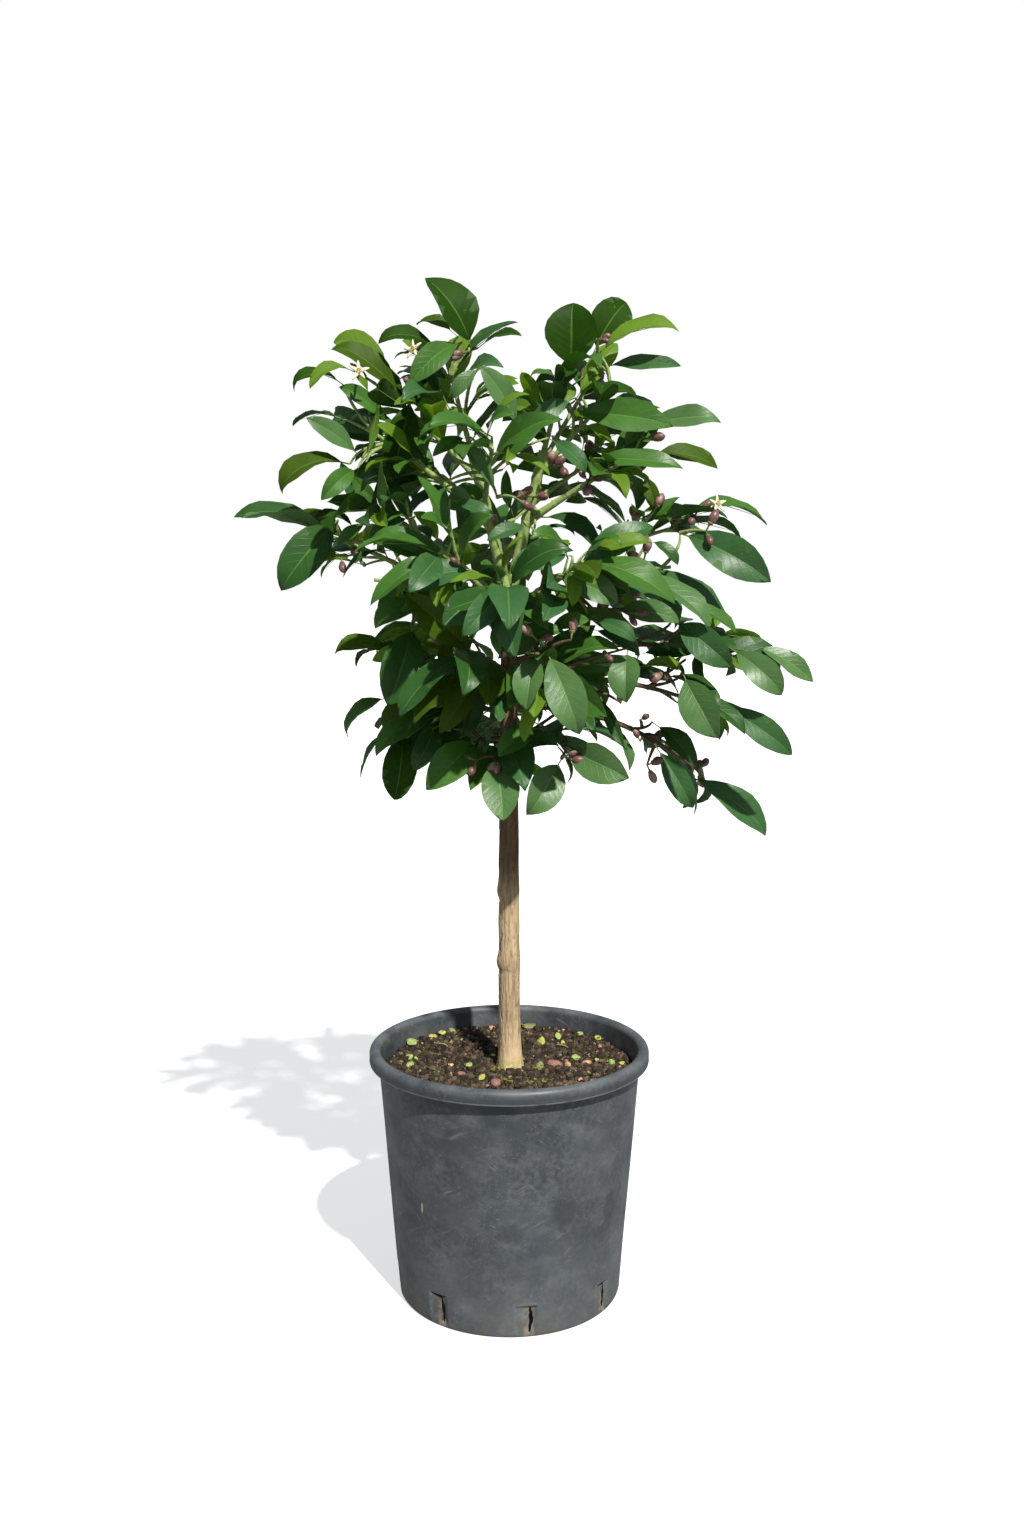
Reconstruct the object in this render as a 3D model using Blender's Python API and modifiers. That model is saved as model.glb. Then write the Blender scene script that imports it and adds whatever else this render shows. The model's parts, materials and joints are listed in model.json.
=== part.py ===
"""Potted lemon tree: a small standard tree in bud, with glossy leaves, in a black plastic nursery pot.

Metres, +Z up. The origin is at the centre of the pot's flat underside, and -Y is the front.
A place on the tree is told by its bearing round the trunk (0 is +X, 90 is +Y, the back), its reach from
the trunk's line and its height above the pot's underside.
"""

import math
import random
from collections import namedtuple

import bmesh
import bpy
from mathutils import Matrix, Vector, noise
from mathutils.bvhtree import BVHTree

UP = Vector((0, 0, 1))
CLEAR = 0.0003

# Pot: a thin tapered tub with a rolled rim that hooks over, and drain slots low in its wall
POT_HEIGHT = 0.2525
POT_SIDES = 44
FOOT_RADIUS = 0.112
WALL_TOP_RADIUS = 0.131
WALL = 0.0025
FLOOR = 0.003
FOOT_ROUND = 0.003
RIM_RADIUS = 0.140
RIM_DEPTH = 0.014
RIM_SHEET = 0.0022
SLOTS = 8
FIRST_SLOT_BEARING = 280
SLOT_WIDTH = 0.0035
SLOT_LOW = 0.004
SLOT_HIGH = 0.030

# Soil: fills the pot to a rough surface below the rim
SOIL_HEIGHT = 0.2285
SOIL_BUMP = 0.0035
SOIL_BUMP_SIZE = 0.022
LEVEL_RADIUS = 0.016

# Trunk: one clear stem with a small root flare and two old pruning knots
TRUNK_TOP = 0.705
TRUNK_STEPS = 14
TRUNK_FOOT_RADIUS = 0.0109
TRUNK_TOP_RADIUS = 0.0072
TAPER_POWER = 1.6
FLARE = 0.0030
FLARE_HEIGHT = 0.014
KNOT_HEIGHTS = (0.338, 0.410)
KNOT_SWELL = 0.0010
KNOT_LENGTH = 0.010
TRUNK_SWAY = 0.0005

# Boughs: the first part of each long shoot, up to the knee where its foliage begins
BOUGH_STEPS = 4
CURVE_STEPS = 40
BOUGH_RADIUS = 0.0040
BOUGH_TIP_RADIUS = 0.0028
LEADER_RADIUS = 0.0056
LEADER_TIP_RADIUS = 0.0046
KNEE = 0.42
SHORTEST_WITH_BOUGH = 0.20

# Foliage masses: a stem with side twigs, and leaves set on them in a spiral
STEM_STEPS = 4
STEM_TIP_RADIUS = 0.0016
TWIG_RADIUS = 0.0016
TWIG_TIP_RADIUS = 0.0012
TWIG_LENGTH = (0.030, 0.046)
TWIG_PLACES = (0.5,)
TWIG_SPREAD = math.radians(52)
SPIRAL = math.radians(137.5)
SPACE_OVERLAP = 0.022
SPACE_BEYOND = 0.045
LIMB_CLEARANCE = 0.003
TRIES = 9
SEED = 8

LEAF_LENGTH = (0.076, 0.102)
LEAF_WIDTH = 0.46
LEAF_STALK = 0.010
LEAF_ROOT_RADIUS = 0.0006
LEAF_KEEL = 0.020
LEAF_FOLD = (10, 26)
LEAF_BEND = (20, 68)
LEAF_SPREAD = (56, 34)
LEAF_ROLL = 55
LEAF_LEVEL = 0.65
LEAF_SINK = (0.14, -0.05)
LEAF_STATIONS = ((0.34, 0.94), (0.72, 0.80))
TWIG_LEAVES = 3
FIRST_LEAF = 0.15
NEAREST_LEAF = 0.019
LEAF_CROWDING = 0.6
LAST_LEAF = (0.082, 0.096)
LAST_LEAF_BEND = (38, 72)
BUD_RADIUS = 0.0045
BUD_STALK = 0.0024

# Each shoot: what it forks from and where (a height on the trunk, or a share of a leader's length), where the
# tip of its last leaf reaches, how far it bows upwards as a share of its length, the leaves set along it, and
# how far its last leaf is turned about its own line, in degrees.
Shoot = namedtuple("Shoot", "parent fork tip bow leaves turn")
LEADERS = {
    "leader_left": Shoot("trunk", 0.694, (196, 0.036, 0.830), 0.04, 0, 0),
    "leader_right": Shoot("trunk", 0.696, (335, 0.036, 0.835), 0.04, 0, 0),
}
SHOOTS = {
    "top_left": Shoot("leader_left", 0.95, (194, 0.082, 0.992), 0.02, 7, -80),
    "top_right": Shoot("leader_right", 0.95, (356, 0.072, 0.974), 0.02, 7, 75),
    "top_back_right": Shoot("leader_right", 0.88, (20, 0.128, 0.972), 0.03, 7, 60),
    "upper_left": Shoot("leader_left", 0.82, (187, 0.170, 0.937), 0.05, 8, -60),
    "upper_far_left": Shoot("leader_left", 0.50, (193, 0.210, 0.888), 0.12, 8, -55),
    "left_high": Shoot("trunk", 0.684, (192, 0.222, 0.797), 0.24, 8, -45),
    "far_left": Shoot("trunk", 0.660, (180, 0.264, 0.775), 0.16, 7, -20),
    "left_mid": Shoot("trunk", 0.664, (199, 0.222, 0.704), 0.24, 5, -50),
    "left_low": Shoot("trunk", 0.610, (193, 0.176, 0.647), 0.14, 5, -28),
    "left_bottom": Shoot("trunk", 0.584, (190, 0.165, 0.566), 0.22, 5, -45),
    "left_foot": Shoot("trunk", 0.560, (202, 0.110, 0.504), 0.30, 5, -40),
    "front_foot": Shoot("trunk", 0.556, (270, 0.100, 0.496), 0.34, 5, 0),
    "right_foot": Shoot("trunk", 0.566, (322, 0.142, 0.531), 0.26, 5, 25),
    "right_bottom": Shoot("trunk", 0.592, (4, 0.258, 0.463), 0.26, 7, 45),
    "right_low": Shoot("trunk", 0.612, (349, 0.272, 0.551), 0.22, 7, 40),
    "right_mid": Shoot("trunk", 0.634, (355, 0.290, 0.618), 0.18, 5, 30),
    "right": Shoot("trunk", 0.668, (346, 0.250, 0.715), 0.24, 6, 50),
    "right_up": Shoot("trunk", 0.682, (5, 0.252, 0.773), 0.20, 7, 25),
    "right_high": Shoot("leader_right", 0.50, (343, 0.200, 0.863), 0.06, 7, 42),
    "right_top": Shoot("leader_right", 0.82, (347, 0.164, 0.945), 0.06, 7, 60),
    "front_high": Shoot("leader_left", 0.68, (268, 0.180, 0.860), 0.06, 7, 10),
    "front_left": Shoot("trunk", 0.676, (240, 0.215, 0.758), 0.12, 7, -20),
    "front": Shoot("trunk", 0.658, (270, 0.220, 0.712), 0.16, 7, 15),
    "front_right": Shoot("trunk", 0.668, (302, 0.215, 0.752), 0.12, 7, 20),
    "front_low_left": Shoot("trunk", 0.622, (246, 0.190, 0.640), 0.18, 6, -15),
    "front_low": Shoot("trunk", 0.604, (292, 0.195, 0.618), 0.20, 6, 12),
    "back_high_left": Shoot("leader_left", 0.60, (148, 0.175, 0.870), 0.04, 7, 20),
    "back_high_right": Shoot("leader_right", 0.62, (40, 0.185, 0.870), 0.04, 7, -20),
    "back_left": Shoot("trunk", 0.668, (136, 0.225, 0.762), 0.12, 7, 25),
    "back": Shoot("trunk", 0.688, (94, 0.220, 0.796), 0.10, 7, -10),
    "back_right": Shoot("trunk", 0.652, (42, 0.230, 0.720), 0.14, 7, -25),
    "back_low_left": Shoot("trunk", 0.622, (128, 0.205, 0.640), 0.18, 6, 20),
    "back_low_right": Shoot("trunk", 0.600, (66, 0.205, 0.618), 0.20, 6, -15),
    "back_foot": Shoot("trunk", 0.574, (106, 0.140, 0.530), 0.26, 5, 10),
}

Leaf = namedtuple("Leaf", "root along face length bend fold")
Grown = namedtuple("Grown", "mass middle blade whole")


# The scene and its collections


def clear_scene():
    for old in list(bpy.data.objects):
        bpy.data.objects.remove(old)


def new_collection(name):
    made = bpy.data.collections.new(name)
    bpy.context.scene.collection.children.link(made)
    return made


def finish_of(name, colour, roughness):
    made = bpy.data.materials.new(name)
    made.use_nodes = True
    shader = made.node_tree.nodes["Principled BSDF"]
    shader.inputs["Base Color"].default_value = (*colour, 1)
    shader.inputs["Roughness"].default_value = roughness
    shader.inputs["Metallic"].default_value = 0
    return made


def object_from(name, data, collection, material=None):
    made = bpy.data.objects.new(name, data)
    collection.objects.link(made)
    if material:
        data.materials.clear()
        data.materials.append(material)
    return made


def object_from_bmesh(name, shape, collection, material=None):
    data = bpy.data.meshes.new(name)
    shape.to_mesh(data)
    shape.free()
    return object_from(name, data, collection, material)


def baked(source):
    """Turns a curve, or an object with modifiers, into one plain mesh object, welded and facing outwards."""
    bpy.context.view_layer.update()
    graph = bpy.context.evaluated_depsgraph_get()
    data = bpy.data.meshes.new_from_object(source.evaluated_get(graph))
    shape = bmesh.new()
    shape.from_mesh(data)
    bmesh.ops.remove_doubles(shape, verts=shape.verts, dist=1e-6)
    bmesh.ops.recalc_face_normals(shape, faces=shape.faces)
    shape.to_mesh(data)
    shape.free()
    name = source.name
    collection = source.users_collection[0]
    place = source.matrix_world.copy()
    materials = list(source.data.materials)
    bpy.data.objects.remove(source)
    made = object_from(name, data, collection)
    made.matrix_world = place
    data.materials.clear()
    for material in materials:
        data.materials.append(material)
    return made


def joined_by(target, operation, cutters):
    """Applies one exact Boolean of the target with all objects of a collection, and removes those objects."""
    step = target.modifiers.new(operation.lower(), "BOOLEAN")
    step.operation = operation
    step.operand_type = "COLLECTION"
    step.collection = cutters
    step.solver = "EXACT"
    made = baked(target)
    for used in list(cutters.objects):
        bpy.data.objects.remove(used)
    return made


# Places on the tree


def place(bearing, reach, height):
    turn = math.radians(bearing)
    return Vector((reach * math.cos(turn), reach * math.sin(turn), height))


def mix(low, high, share):
    return low + (high - low) * share


def bow_curve(start, middle, end, steps):
    """Points along a quadratic curve from start to end, pulled towards middle."""
    shares = [step / steps for step in range(steps + 1)]
    return [start * (1 - s) ** 2 + middle * (2 * s * (1 - s)) + end * s**2 for s in shares]


def turned(vector, axis, angle):
    return Matrix.Rotation(angle, 3, axis) @ vector


def square_to(vector, axis):
    """The part of a vector at right angles to an axis, at unit length."""
    rest = vector - axis * vector.dot(axis)
    if rest.length < 1e-6:
        rest = axis.orthogonal()
    return rest.normalized()


def point_at(points, share):
    """The point and direction at a share of a path's steps."""
    spot = min(share, 0.9999) * (len(points) - 1)
    step = int(spot)
    low, high = points[step], points[step + 1]
    return low.lerp(high, spot - step), (high - low).normalized()


def distance_to_path(point, points):
    nearest = 1.0
    for low, high in zip(points, points[1:]):
        run = high - low
        share = max(0.0, min(1.0, (point - low).dot(run) / run.length_squared))
        nearest = min(nearest, (point - low - run * share).length)
    return nearest


# Pot and soil


def wall_radius(height):
    """The wall's outer radius at a height."""
    return mix(FOOT_RADIUS, WALL_TOP_RADIUS, height / (POT_HEIGHT - RIM_DEPTH))


def lathed(name, profile, collection, material):
    """Turns a profile of (radius, height) points, listed up the inside and down the outside, about the Z axis."""
    shape = bmesh.new()
    corners = [shape.verts.new((radius, 0, height)) for radius, height in profile]
    for low, high in zip(corners, corners[1:]):
        shape.edges.new((low, high))
    turned_shape = object_from_bmesh(name, shape, collection, material)
    screw = turned_shape.modifiers.new("turn", "SCREW")
    screw.steps = screw.render_steps = POT_SIDES
    screw.use_merge_vertices = True
    screw.merge_threshold = 1e-5
    return baked(turned_shape)


def rim_arc(radius, centre_radius, centre_height, from_deg, to_deg, points):
    """Points of an arc in the rim's section."""
    angles = [math.radians(mix(from_deg, to_deg, n / (points - 1))) for n in range(points)]
    return [(centre_radius + radius * math.cos(a), centre_height + radius * math.sin(a)) for a in angles]


def pot_profile():
    rim_low = POT_HEIGHT - RIM_DEPTH
    inner_top = WALL_TOP_RADIUS - WALL
    roll = (RIM_RADIUS - inner_top) / 2
    centre = (inner_top + roll, POT_HEIGHT - roll)
    inner_floor = wall_radius(FLOOR) - WALL
    return [
        (0, FLOOR),
        (inner_floor - FOOT_ROUND, FLOOR),
        (inner_floor, FLOOR + FOOT_ROUND),
        (inner_top, rim_low),
        *rim_arc(roll, *centre, 180, 0, 7),
        (RIM_RADIUS - RIM_SHEET / 4, rim_low),
        (RIM_RADIUS - RIM_SHEET, rim_low),
        *rim_arc(roll - RIM_SHEET, *centre, 0, 100, 3),
        (WALL_TOP_RADIUS, POT_HEIGHT - roll - RIM_SHEET),
        (WALL_TOP_RADIUS, rim_low),
        (wall_radius(FOOT_ROUND), FOOT_ROUND),
        (FOOT_RADIUS - FOOT_ROUND, 0),
        (0, 0),
    ]


def build_pot(parts, cutters, material):
    pot = lathed("pot", pot_profile(), parts, material)
    slot_height = SLOT_HIGH - SLOT_LOW
    for number in range(SLOTS):
        bearing = FIRST_SLOT_BEARING + number * 360 / SLOTS
        shape = bmesh.new()
        bmesh.ops.create_cube(shape, size=1)
        bmesh.ops.scale(shape, vec=(8 * WALL, SLOT_WIDTH, slot_height), verts=shape.verts)
        cutter = object_from_bmesh(f"slot_{number}", shape, cutters)
        cutter.location = place(bearing, FOOT_RADIUS, SLOT_LOW + slot_height / 2)
        cutter.rotation_euler.z = math.radians(bearing)
    return joined_by(pot, "DIFFERENCE", cutters)


def soil_profile():
    """Down the outside of the fill, from the middle of its surface to the middle of its underside."""
    low = FLOOR + CLEAR
    edge = wall_radius(SOIL_HEIGHT) - WALL - 2 * CLEAR
    foot = wall_radius(low) - WALL - 2 * CLEAR
    rings = [(mix(LEVEL_RADIUS, edge, share), SOIL_HEIGHT) for share in (0, 0.2, 0.4, 0.6, 0.8, 1)]
    return [(0, SOIL_HEIGHT), *rings, (foot, low + FOOT_ROUND), (foot - FOOT_ROUND, low), (0, low)]


def build_soil(parts, material):
    soil = lathed("soil", soil_profile(), parts, material)
    for corner in soil.data.vertices:
        reach = corner.co.xy.length
        if corner.co.z > SOIL_HEIGHT - CLEAR and reach > LEVEL_RADIUS + CLEAR:
            corner.co.z += SOIL_BUMP * noise.noise(corner.co / SOIL_BUMP_SIZE)
    return soil


# Trunk and boughs


def trunk_radius(height):
    up = height - SOIL_HEIGHT
    share = up / (TRUNK_TOP - SOIL_HEIGHT)
    taper = mix(TRUNK_FOOT_RADIUS, TRUNK_TOP_RADIUS, share**TAPER_POWER)
    knots = sum(math.exp(-(((height - knot) / KNOT_LENGTH) ** 2)) for knot in KNOT_HEIGHTS)
    return taper + FLARE * math.exp(-up / FLARE_HEIGHT) + KNOT_SWELL * knots


def trunk_centre(height):
    """The trunk leans a hair to the left above its foot and comes back under the crown."""
    up = max(0.0, (height - SOIL_HEIGHT) / (TRUNK_TOP - SOIL_HEIGHT) - 0.04)
    return Vector((-TRUNK_SWAY * math.sin(3 * up), TRUNK_SWAY * math.sin(4.5 * up), height))


def trunk_path():
    """Heights crowd towards the flared foot, and the first step is upright, so the cut there is level."""
    low = SOIL_HEIGHT + CLEAR
    heights = [mix(low, TRUNK_TOP, (step / TRUNK_STEPS) ** 1.3) for step in range(TRUNK_STEPS + 1)]
    return [trunk_centre(height) for height in heights], [trunk_radius(height) for height in heights]


def limb_curve(name, points, radii, collection, material, section=None, resolution=1):
    """A tapering limb with filled ends: round with a bevel, or three-sided round a section curve."""
    data = bpy.data.curves.new(name, "CURVE")
    data.dimensions = "3D"
    data.use_fill_caps = True
    if section:
        data.bevel_mode = "OBJECT"
        data.bevel_object = section
        unit = 1.0
    else:
        unit = max(radii)
        data.bevel_depth = unit
        data.bevel_resolution = resolution
    spline = data.splines.new("POLY")
    spline.points.add(len(points) - 1)
    for spot, point, radius in zip(spline.points, points, radii):
        spot.co = (*point, 1)
        spot.radius = radius / unit
    return baked(object_from(name, data, collection, material))


def three_sided_section(collection):
    """A unit triangle that the twigs are drawn along."""
    data = bpy.data.curves.new("twig_section", "CURVE")
    data.dimensions = "2D"
    spline = data.splines.new("POLY")
    spline.points.add(2)
    spline.use_cyclic_u = True
    for number, spot in enumerate(spline.points):
        turn = math.radians(90 + 120 * number)
        spot.co = (math.cos(turn), math.sin(turn), 0, 1)
    guide = object_from("twig_section", data, collection)
    guide.hide_render = True
    guide.display_type = "WIRE"
    return guide


def fork_of(shoot, limbs):
    """Where a shoot leaves its parent's centre line."""
    points = limbs[shoot.parent][0]
    if shoot.parent == "trunk":
        return trunk_centre(shoot.fork)
    return point_at(points, shoot.fork)[0]


def shoot_curve(shoot, limbs, steps):
    """The whole centre line of a shoot, from its fork to its tip."""
    start, tip = fork_of(shoot, limbs), place(*shoot.tip)
    return bow_curve(start, (start + tip) / 2 + UP * shoot.bow * (tip - start).length, tip, steps)


def has_bough(shoot, limbs):
    return (place(*shoot.tip) - fork_of(shoot, limbs)).length > SHORTEST_WITH_BOUGH


def stem_curve(shoot, limbs):
    """A shoot's centre line up to where its last leaf is set."""
    curve = shoot_curve(shoot, limbs, CURVE_STEPS)
    reach = mix(*LAST_LEAF, 0.5)
    return [point for point in curve if (curve[-1] - point).length > reach]


def tapered(points, radius, tip_radius):
    last = len(points) - 1
    return points, [mix(radius, tip_radius, step / last) for step in range(last + 1)]


def part_of(path, low, high, steps):
    """The stretch of a path between two shares of its length."""
    return [point_at(path, mix(low, high, step / steps))[0] for step in range(steps + 1)]


def limb_paths():
    """Centre lines and radii of the trunk, the leaders and every bough that carries foliage at its tip."""
    limbs = {"trunk": trunk_path()}
    for name, shoot in LEADERS.items():
        limbs[name] = tapered(shoot_curve(shoot, limbs, BOUGH_STEPS), LEADER_RADIUS, LEADER_TIP_RADIUS)
    for name, shoot in SHOOTS.items():
        if has_bough(shoot, limbs):
            points = part_of(stem_curve(shoot, limbs), 0, KNEE, BOUGH_STEPS)
            limbs["bough_" + name] = tapered(points, BOUGH_RADIUS, BOUGH_TIP_RADIUS)
    return limbs


def near_boxes(points_a, points_b, room):
    """Whether the boxes round two paths come within a distance of each other."""
    for axis in range(3):
        low_a, high_a = min(p[axis] for p in points_a), max(p[axis] for p in points_a)
        low_b, high_b = min(p[axis] for p in points_b), max(p[axis] for p in points_b)
        if low_a > high_b + room or low_b > high_a + room:
            return False
    return True


def cut_clear(limb, points, others, limbs, cutters):
    """Cuts a limb back to 0.3 mm clear of the earlier limbs that it starts in."""
    for name in others:
        path, radii = limbs[name]
        if near_boxes(points, path, max(radii)) and distance_to_path(points[0], path) < 2 * max(radii):
            ends = (path[0] - path[1]).normalized() * CLEAR, (path[-1] - path[-2]).normalized() * CLEAR
            longer = [path[0] + ends[0], *path[1:-1], path[-1] + ends[1]]
            wider = [radius + CLEAR for radius in radii]
            limb_curve("around_" + name, longer, wider, cutters, None, resolution=4)
    return joined_by(limb, "DIFFERENCE", cutters) if cutters.objects else limb


def build_limbs(limbs, parts, cutters, bark, green_bark):
    made = []
    for name, (points, radii) in limbs.items():
        material = bark if name == "trunk" else green_bark
        resolution = 4 if name == "trunk" else 1
        limb = limb_curve(name, points, radii, parts, material, resolution=resolution)
        cut_clear(limb, points, made, limbs, cutters)
        made.append(name)


# The growing rule: stems, side twigs, then leaves that keep to their own mass's space


def stem_path(name, shoot, limbs):
    """The foliage stem: the rest of its shoot, from 0.3 mm past the bough's tip, or all of a short shoot."""
    curve = stem_curve(shoot, limbs)
    if "bough_" + name not in limbs:
        return tapered(part_of(curve, 0, 1, STEM_STEPS), BOUGH_TIP_RADIUS, STEM_TIP_RADIUS)
    points = part_of(curve, KNEE, 1, STEM_STEPS)
    points[0] += (points[1] - points[0]).normalized() * CLEAR
    return tapered(points, BOUGH_TIP_RADIUS, STEM_TIP_RADIUS)


def space_axis(stem):
    """The line that a mass's space lies round: the leafy part of its stem, carried on past the tip."""
    heading = (stem[-1] - stem[-2]).normalized()
    return [stem[1], stem[STEM_STEPS // 2], stem[-1], stem[-1] + heading * SPACE_BEYOND]


def in_space(point, own, axes):
    """Whether a point is nearer to its own mass's line than to any other's, give or take a small overlap."""
    limit = distance_to_path(point, axes[own]) - SPACE_OVERLAP
    if point.z < SOIL_HEIGHT + 0.1:
        return False
    return all(distance_to_path(point, axis) > limit for name, axis in axes.items() if name != own)


def twig_paths(stem, rng):
    """Two short, straight side twigs that leave the stem."""
    made = []
    roll = rng.uniform(0, math.tau)
    for share in TWIG_PLACES:
        start, heading = point_at(stem, share)
        side = turned(square_to(UP, heading), heading, roll)
        along = turned(heading, heading.cross(side).normalized(), TWIG_SPREAD)
        length = rng.uniform(*TWIG_LENGTH)
        end = start + along * length
        made.append([start, end])
        roll += math.pi * rng.uniform(0.75, 1.1)
    return made


def leaf_spine(leaf, share):
    """The leaf's centre line at a share of its blade: the point, the way on, and the way its face looks."""
    angle = leaf.bend * share
    root = leaf.root + leaf.along * LEAF_STALK
    radius = leaf.length / leaf.bend
    point = root + leaf.along * radius * math.sin(angle) - leaf.face * radius * (1 - math.cos(angle))
    way = leaf.along * math.cos(angle) - leaf.face * math.sin(angle)
    face = leaf.face * math.cos(angle) + leaf.along * math.sin(angle)
    return point, way, face


def leaf_sections(leaf):
    """Three-cornered sections of the blade, [left edge, right edge, keel], and its tip."""
    side = leaf.along.cross(leaf.face)
    half = leaf.length * LEAF_WIDTH / 2
    sections = []
    for share, width in LEAF_STATIONS:
        point, _, face = leaf_spine(leaf, share)
        out = side * math.cos(leaf.fold) * half * width
        lift = face * math.sin(leaf.fold) * half * width
        sections.append([point - out + lift, point + out + lift, point - face * leaf.length * LEAF_KEEL / 2])
    return sections, leaf_spine(leaf, 1)[0]


def stalk_section(leaf, point, radius):
    side = leaf.along.cross(leaf.face) * radius
    return [point - side + leaf.face * radius / 2, point + side + leaf.face * radius / 2, point - leaf.face * radius]


def leaf_mesh_data(leaf):
    """Vertices and faces of the simple leaf: a thin three-sided stalk that widens into a folded blade."""
    sections, tip = leaf_sections(leaf)
    foot = stalk_section(leaf, leaf_spine(leaf, 0)[0], 2 * LEAF_ROOT_RADIUS)
    rings = [stalk_section(leaf, leaf.root, LEAF_ROOT_RADIUS), foot, *sections]
    points = [point for ring in rings for point in ring] + [tip]
    faces = [(0, 2, 1)]
    for ring in range(len(rings) - 1):
        for corner in range(3):
            a, b = 3 * ring + corner, 3 * ring + (corner + 1) % 3
            faces.append((a, b, b + 3, a + 3))
    last = 3 * (len(rings) - 1)
    for corner in range(3):
        faces.append((last + corner, last + (corner + 1) % 3, last + 3))
    return points, faces


def blade_test_points(leaf):
    """Points over the blade, clear of its root, that have to stay in the mass's space."""
    sections, tip = leaf_sections(leaf)
    return [point for section in sections for point in section] + [tip, leaf_spine(leaf, 0.2)[0]]


def blade_tree(leaf):
    """A search tree of the blade alone, without the stalk, for leaf against leaf."""
    sections, tip = leaf_sections(leaf)
    foot = leaf_spine(leaf, 0.05)[0]
    (left, right, keel), (far_left, far_right, far_keel) = sections
    points = [foot, left, right, keel, far_left, far_right, far_keel, tip]
    faces = [(0, 1, 3), (0, 3, 2), (1, 4, 6, 3), (3, 6, 5, 2), (4, 7, 6), (6, 7, 5)]
    return BVHTree.FromPolygons(points, faces)


def sink_at(height):
    """How far a leaf hangs: much low in the crown, little at its top."""
    return mix(*LEAF_SINK, max(0.0, min(1.0, (height - 0.54) / 0.38)))


def try_leaf(root, heading, roll, share, scale, rng):
    """One leaf set on a stem: share 0 is the stem's foot, where leaves stand out, and 1 its tip."""
    side = turned(square_to(UP, heading), heading, roll)
    spread = math.radians(mix(*LEAF_SPREAD, share) + rng.uniform(-8, 8))
    along = heading * math.cos(spread) + side * math.sin(spread)
    along.z = along.z * LEAF_LEVEL - sink_at(root.z) * rng.uniform(0.6, 1.4)
    along.normalize()
    out = Vector((root.x, root.y, 0))
    facing = heading * 0.7 + UP * 0.8 + out.normalized() * 0.35
    face = turned(square_to(facing, along), along, math.radians(rng.uniform(-LEAF_ROLL, LEAF_ROLL)))
    return Leaf(
        root,
        along,
        face,
        rng.uniform(*LEAF_LENGTH) * scale,
        math.radians(rng.uniform(*LEAF_BEND)),
        math.radians(rng.uniform(*LEAF_FOLD)),
    )


def last_leaf(stem, tip, turn, rng):
    """The leaf that carries on from the stem's end, arched so that its tip lies at the shoot's tip."""
    bend = math.radians(rng.uniform(*LAST_LEAF_BEND))
    chord = tip - stem[-1]
    on, down = math.sin(bend) / bend, (1 - math.cos(bend)) / bend
    square = on**2 + down**2
    root = math.sqrt((LEAF_STALK * on) ** 2 - square * (LEAF_STALK**2 - chord.length_squared))
    length = (root - LEAF_STALK * on) / square
    rise = math.atan2(length * down, LEAF_STALK + length * on)
    way = chord.normalized()
    over = turned(square_to(UP, way), way, math.radians(turn))
    along = way * math.cos(rise) + over * math.sin(rise)
    face = over * math.cos(rise) - way * math.sin(rise)
    return Leaf(stem[-1] - along * STEM_TIP_RADIUS, along, face, length, bend, math.radians(mix(*LEAF_FOLD, 0.5)))


def grown_leaf(leaf, mass):
    """A leaf's middle with search trees of its blade alone and of the whole leaf, stalk and all."""
    return Grown(mass, leaf_spine(leaf, 0.5)[0], blade_tree(leaf), BVHTree.FromPolygons(*leaf_mesh_data(leaf)))


def leaves_cross(new, old):
    """Leaves of one mass may meet at their stalks, and leaves of two masses may not meet at all."""
    if (new.middle - old.middle).length > 2 * LEAF_LENGTH[1] + LEAF_STALK:
        return False
    if new.mass == old.mass:
        return bool(new.blade.overlap(old.blade))
    return bool(new.whole.overlap(old.whole))


def leaf_fits(leaf, own, axes, limb_tree, leaves):
    """Whether a leaf keeps to its mass's space and touches no limb, twig or earlier leaf."""
    points = blade_test_points(leaf)
    if any(limb_tree.find_nearest(point, LIMB_CLEARANCE)[0] for point in points):
        return False
    if not all(in_space(point, own, axes) for point in points):
        return False
    new = grown_leaf(leaf, own)
    return not new.blade.overlap(limb_tree) and not any(leaves_cross(new, old) for old in leaves)


def leaf_places(stem, twigs, shoot):
    """(path, share along it) of each leaf that a mass tries to grow, from the foot outwards."""
    first = max(FIRST_LEAF, NEAREST_LEAF / (stem[-1] - stem[0]).length)
    steps = [(n / (shoot.leaves - 1)) ** LEAF_CROWDING for n in range(shoot.leaves)]
    places = [(stem, mix(first, 0.97, step)) for step in steps]
    for twig in twigs:
        places += [(twig, mix(0.45, 0.98, n / (TWIG_LEAVES - 1))) for n in range(TWIG_LEAVES)]
    return places


def grow_leaves(name, shoot, stem, twigs, axes, limb_tree, leaves, rng):
    """The leaves of one mass besides its last. A place where no try fits stays bare."""
    grown = []
    roll = rng.uniform(0, math.tau)
    for path, share in leaf_places(stem, twigs, shoot):
        root, heading = point_at(path, share)
        for number in range(TRIES):
            swing = 0.45 * ((number + 1) // 2) * (-1) ** number
            scale = 1 - 0.035 * number
            leaf = try_leaf(root, heading, roll + swing, share, scale, rng)
            if leaf_fits(leaf, name, axes, limb_tree, leaves):
                grown.append(leaf)
                leaves.append(grown_leaf(leaf, name))
                break
        roll += SPIRAL
    return grown


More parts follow.
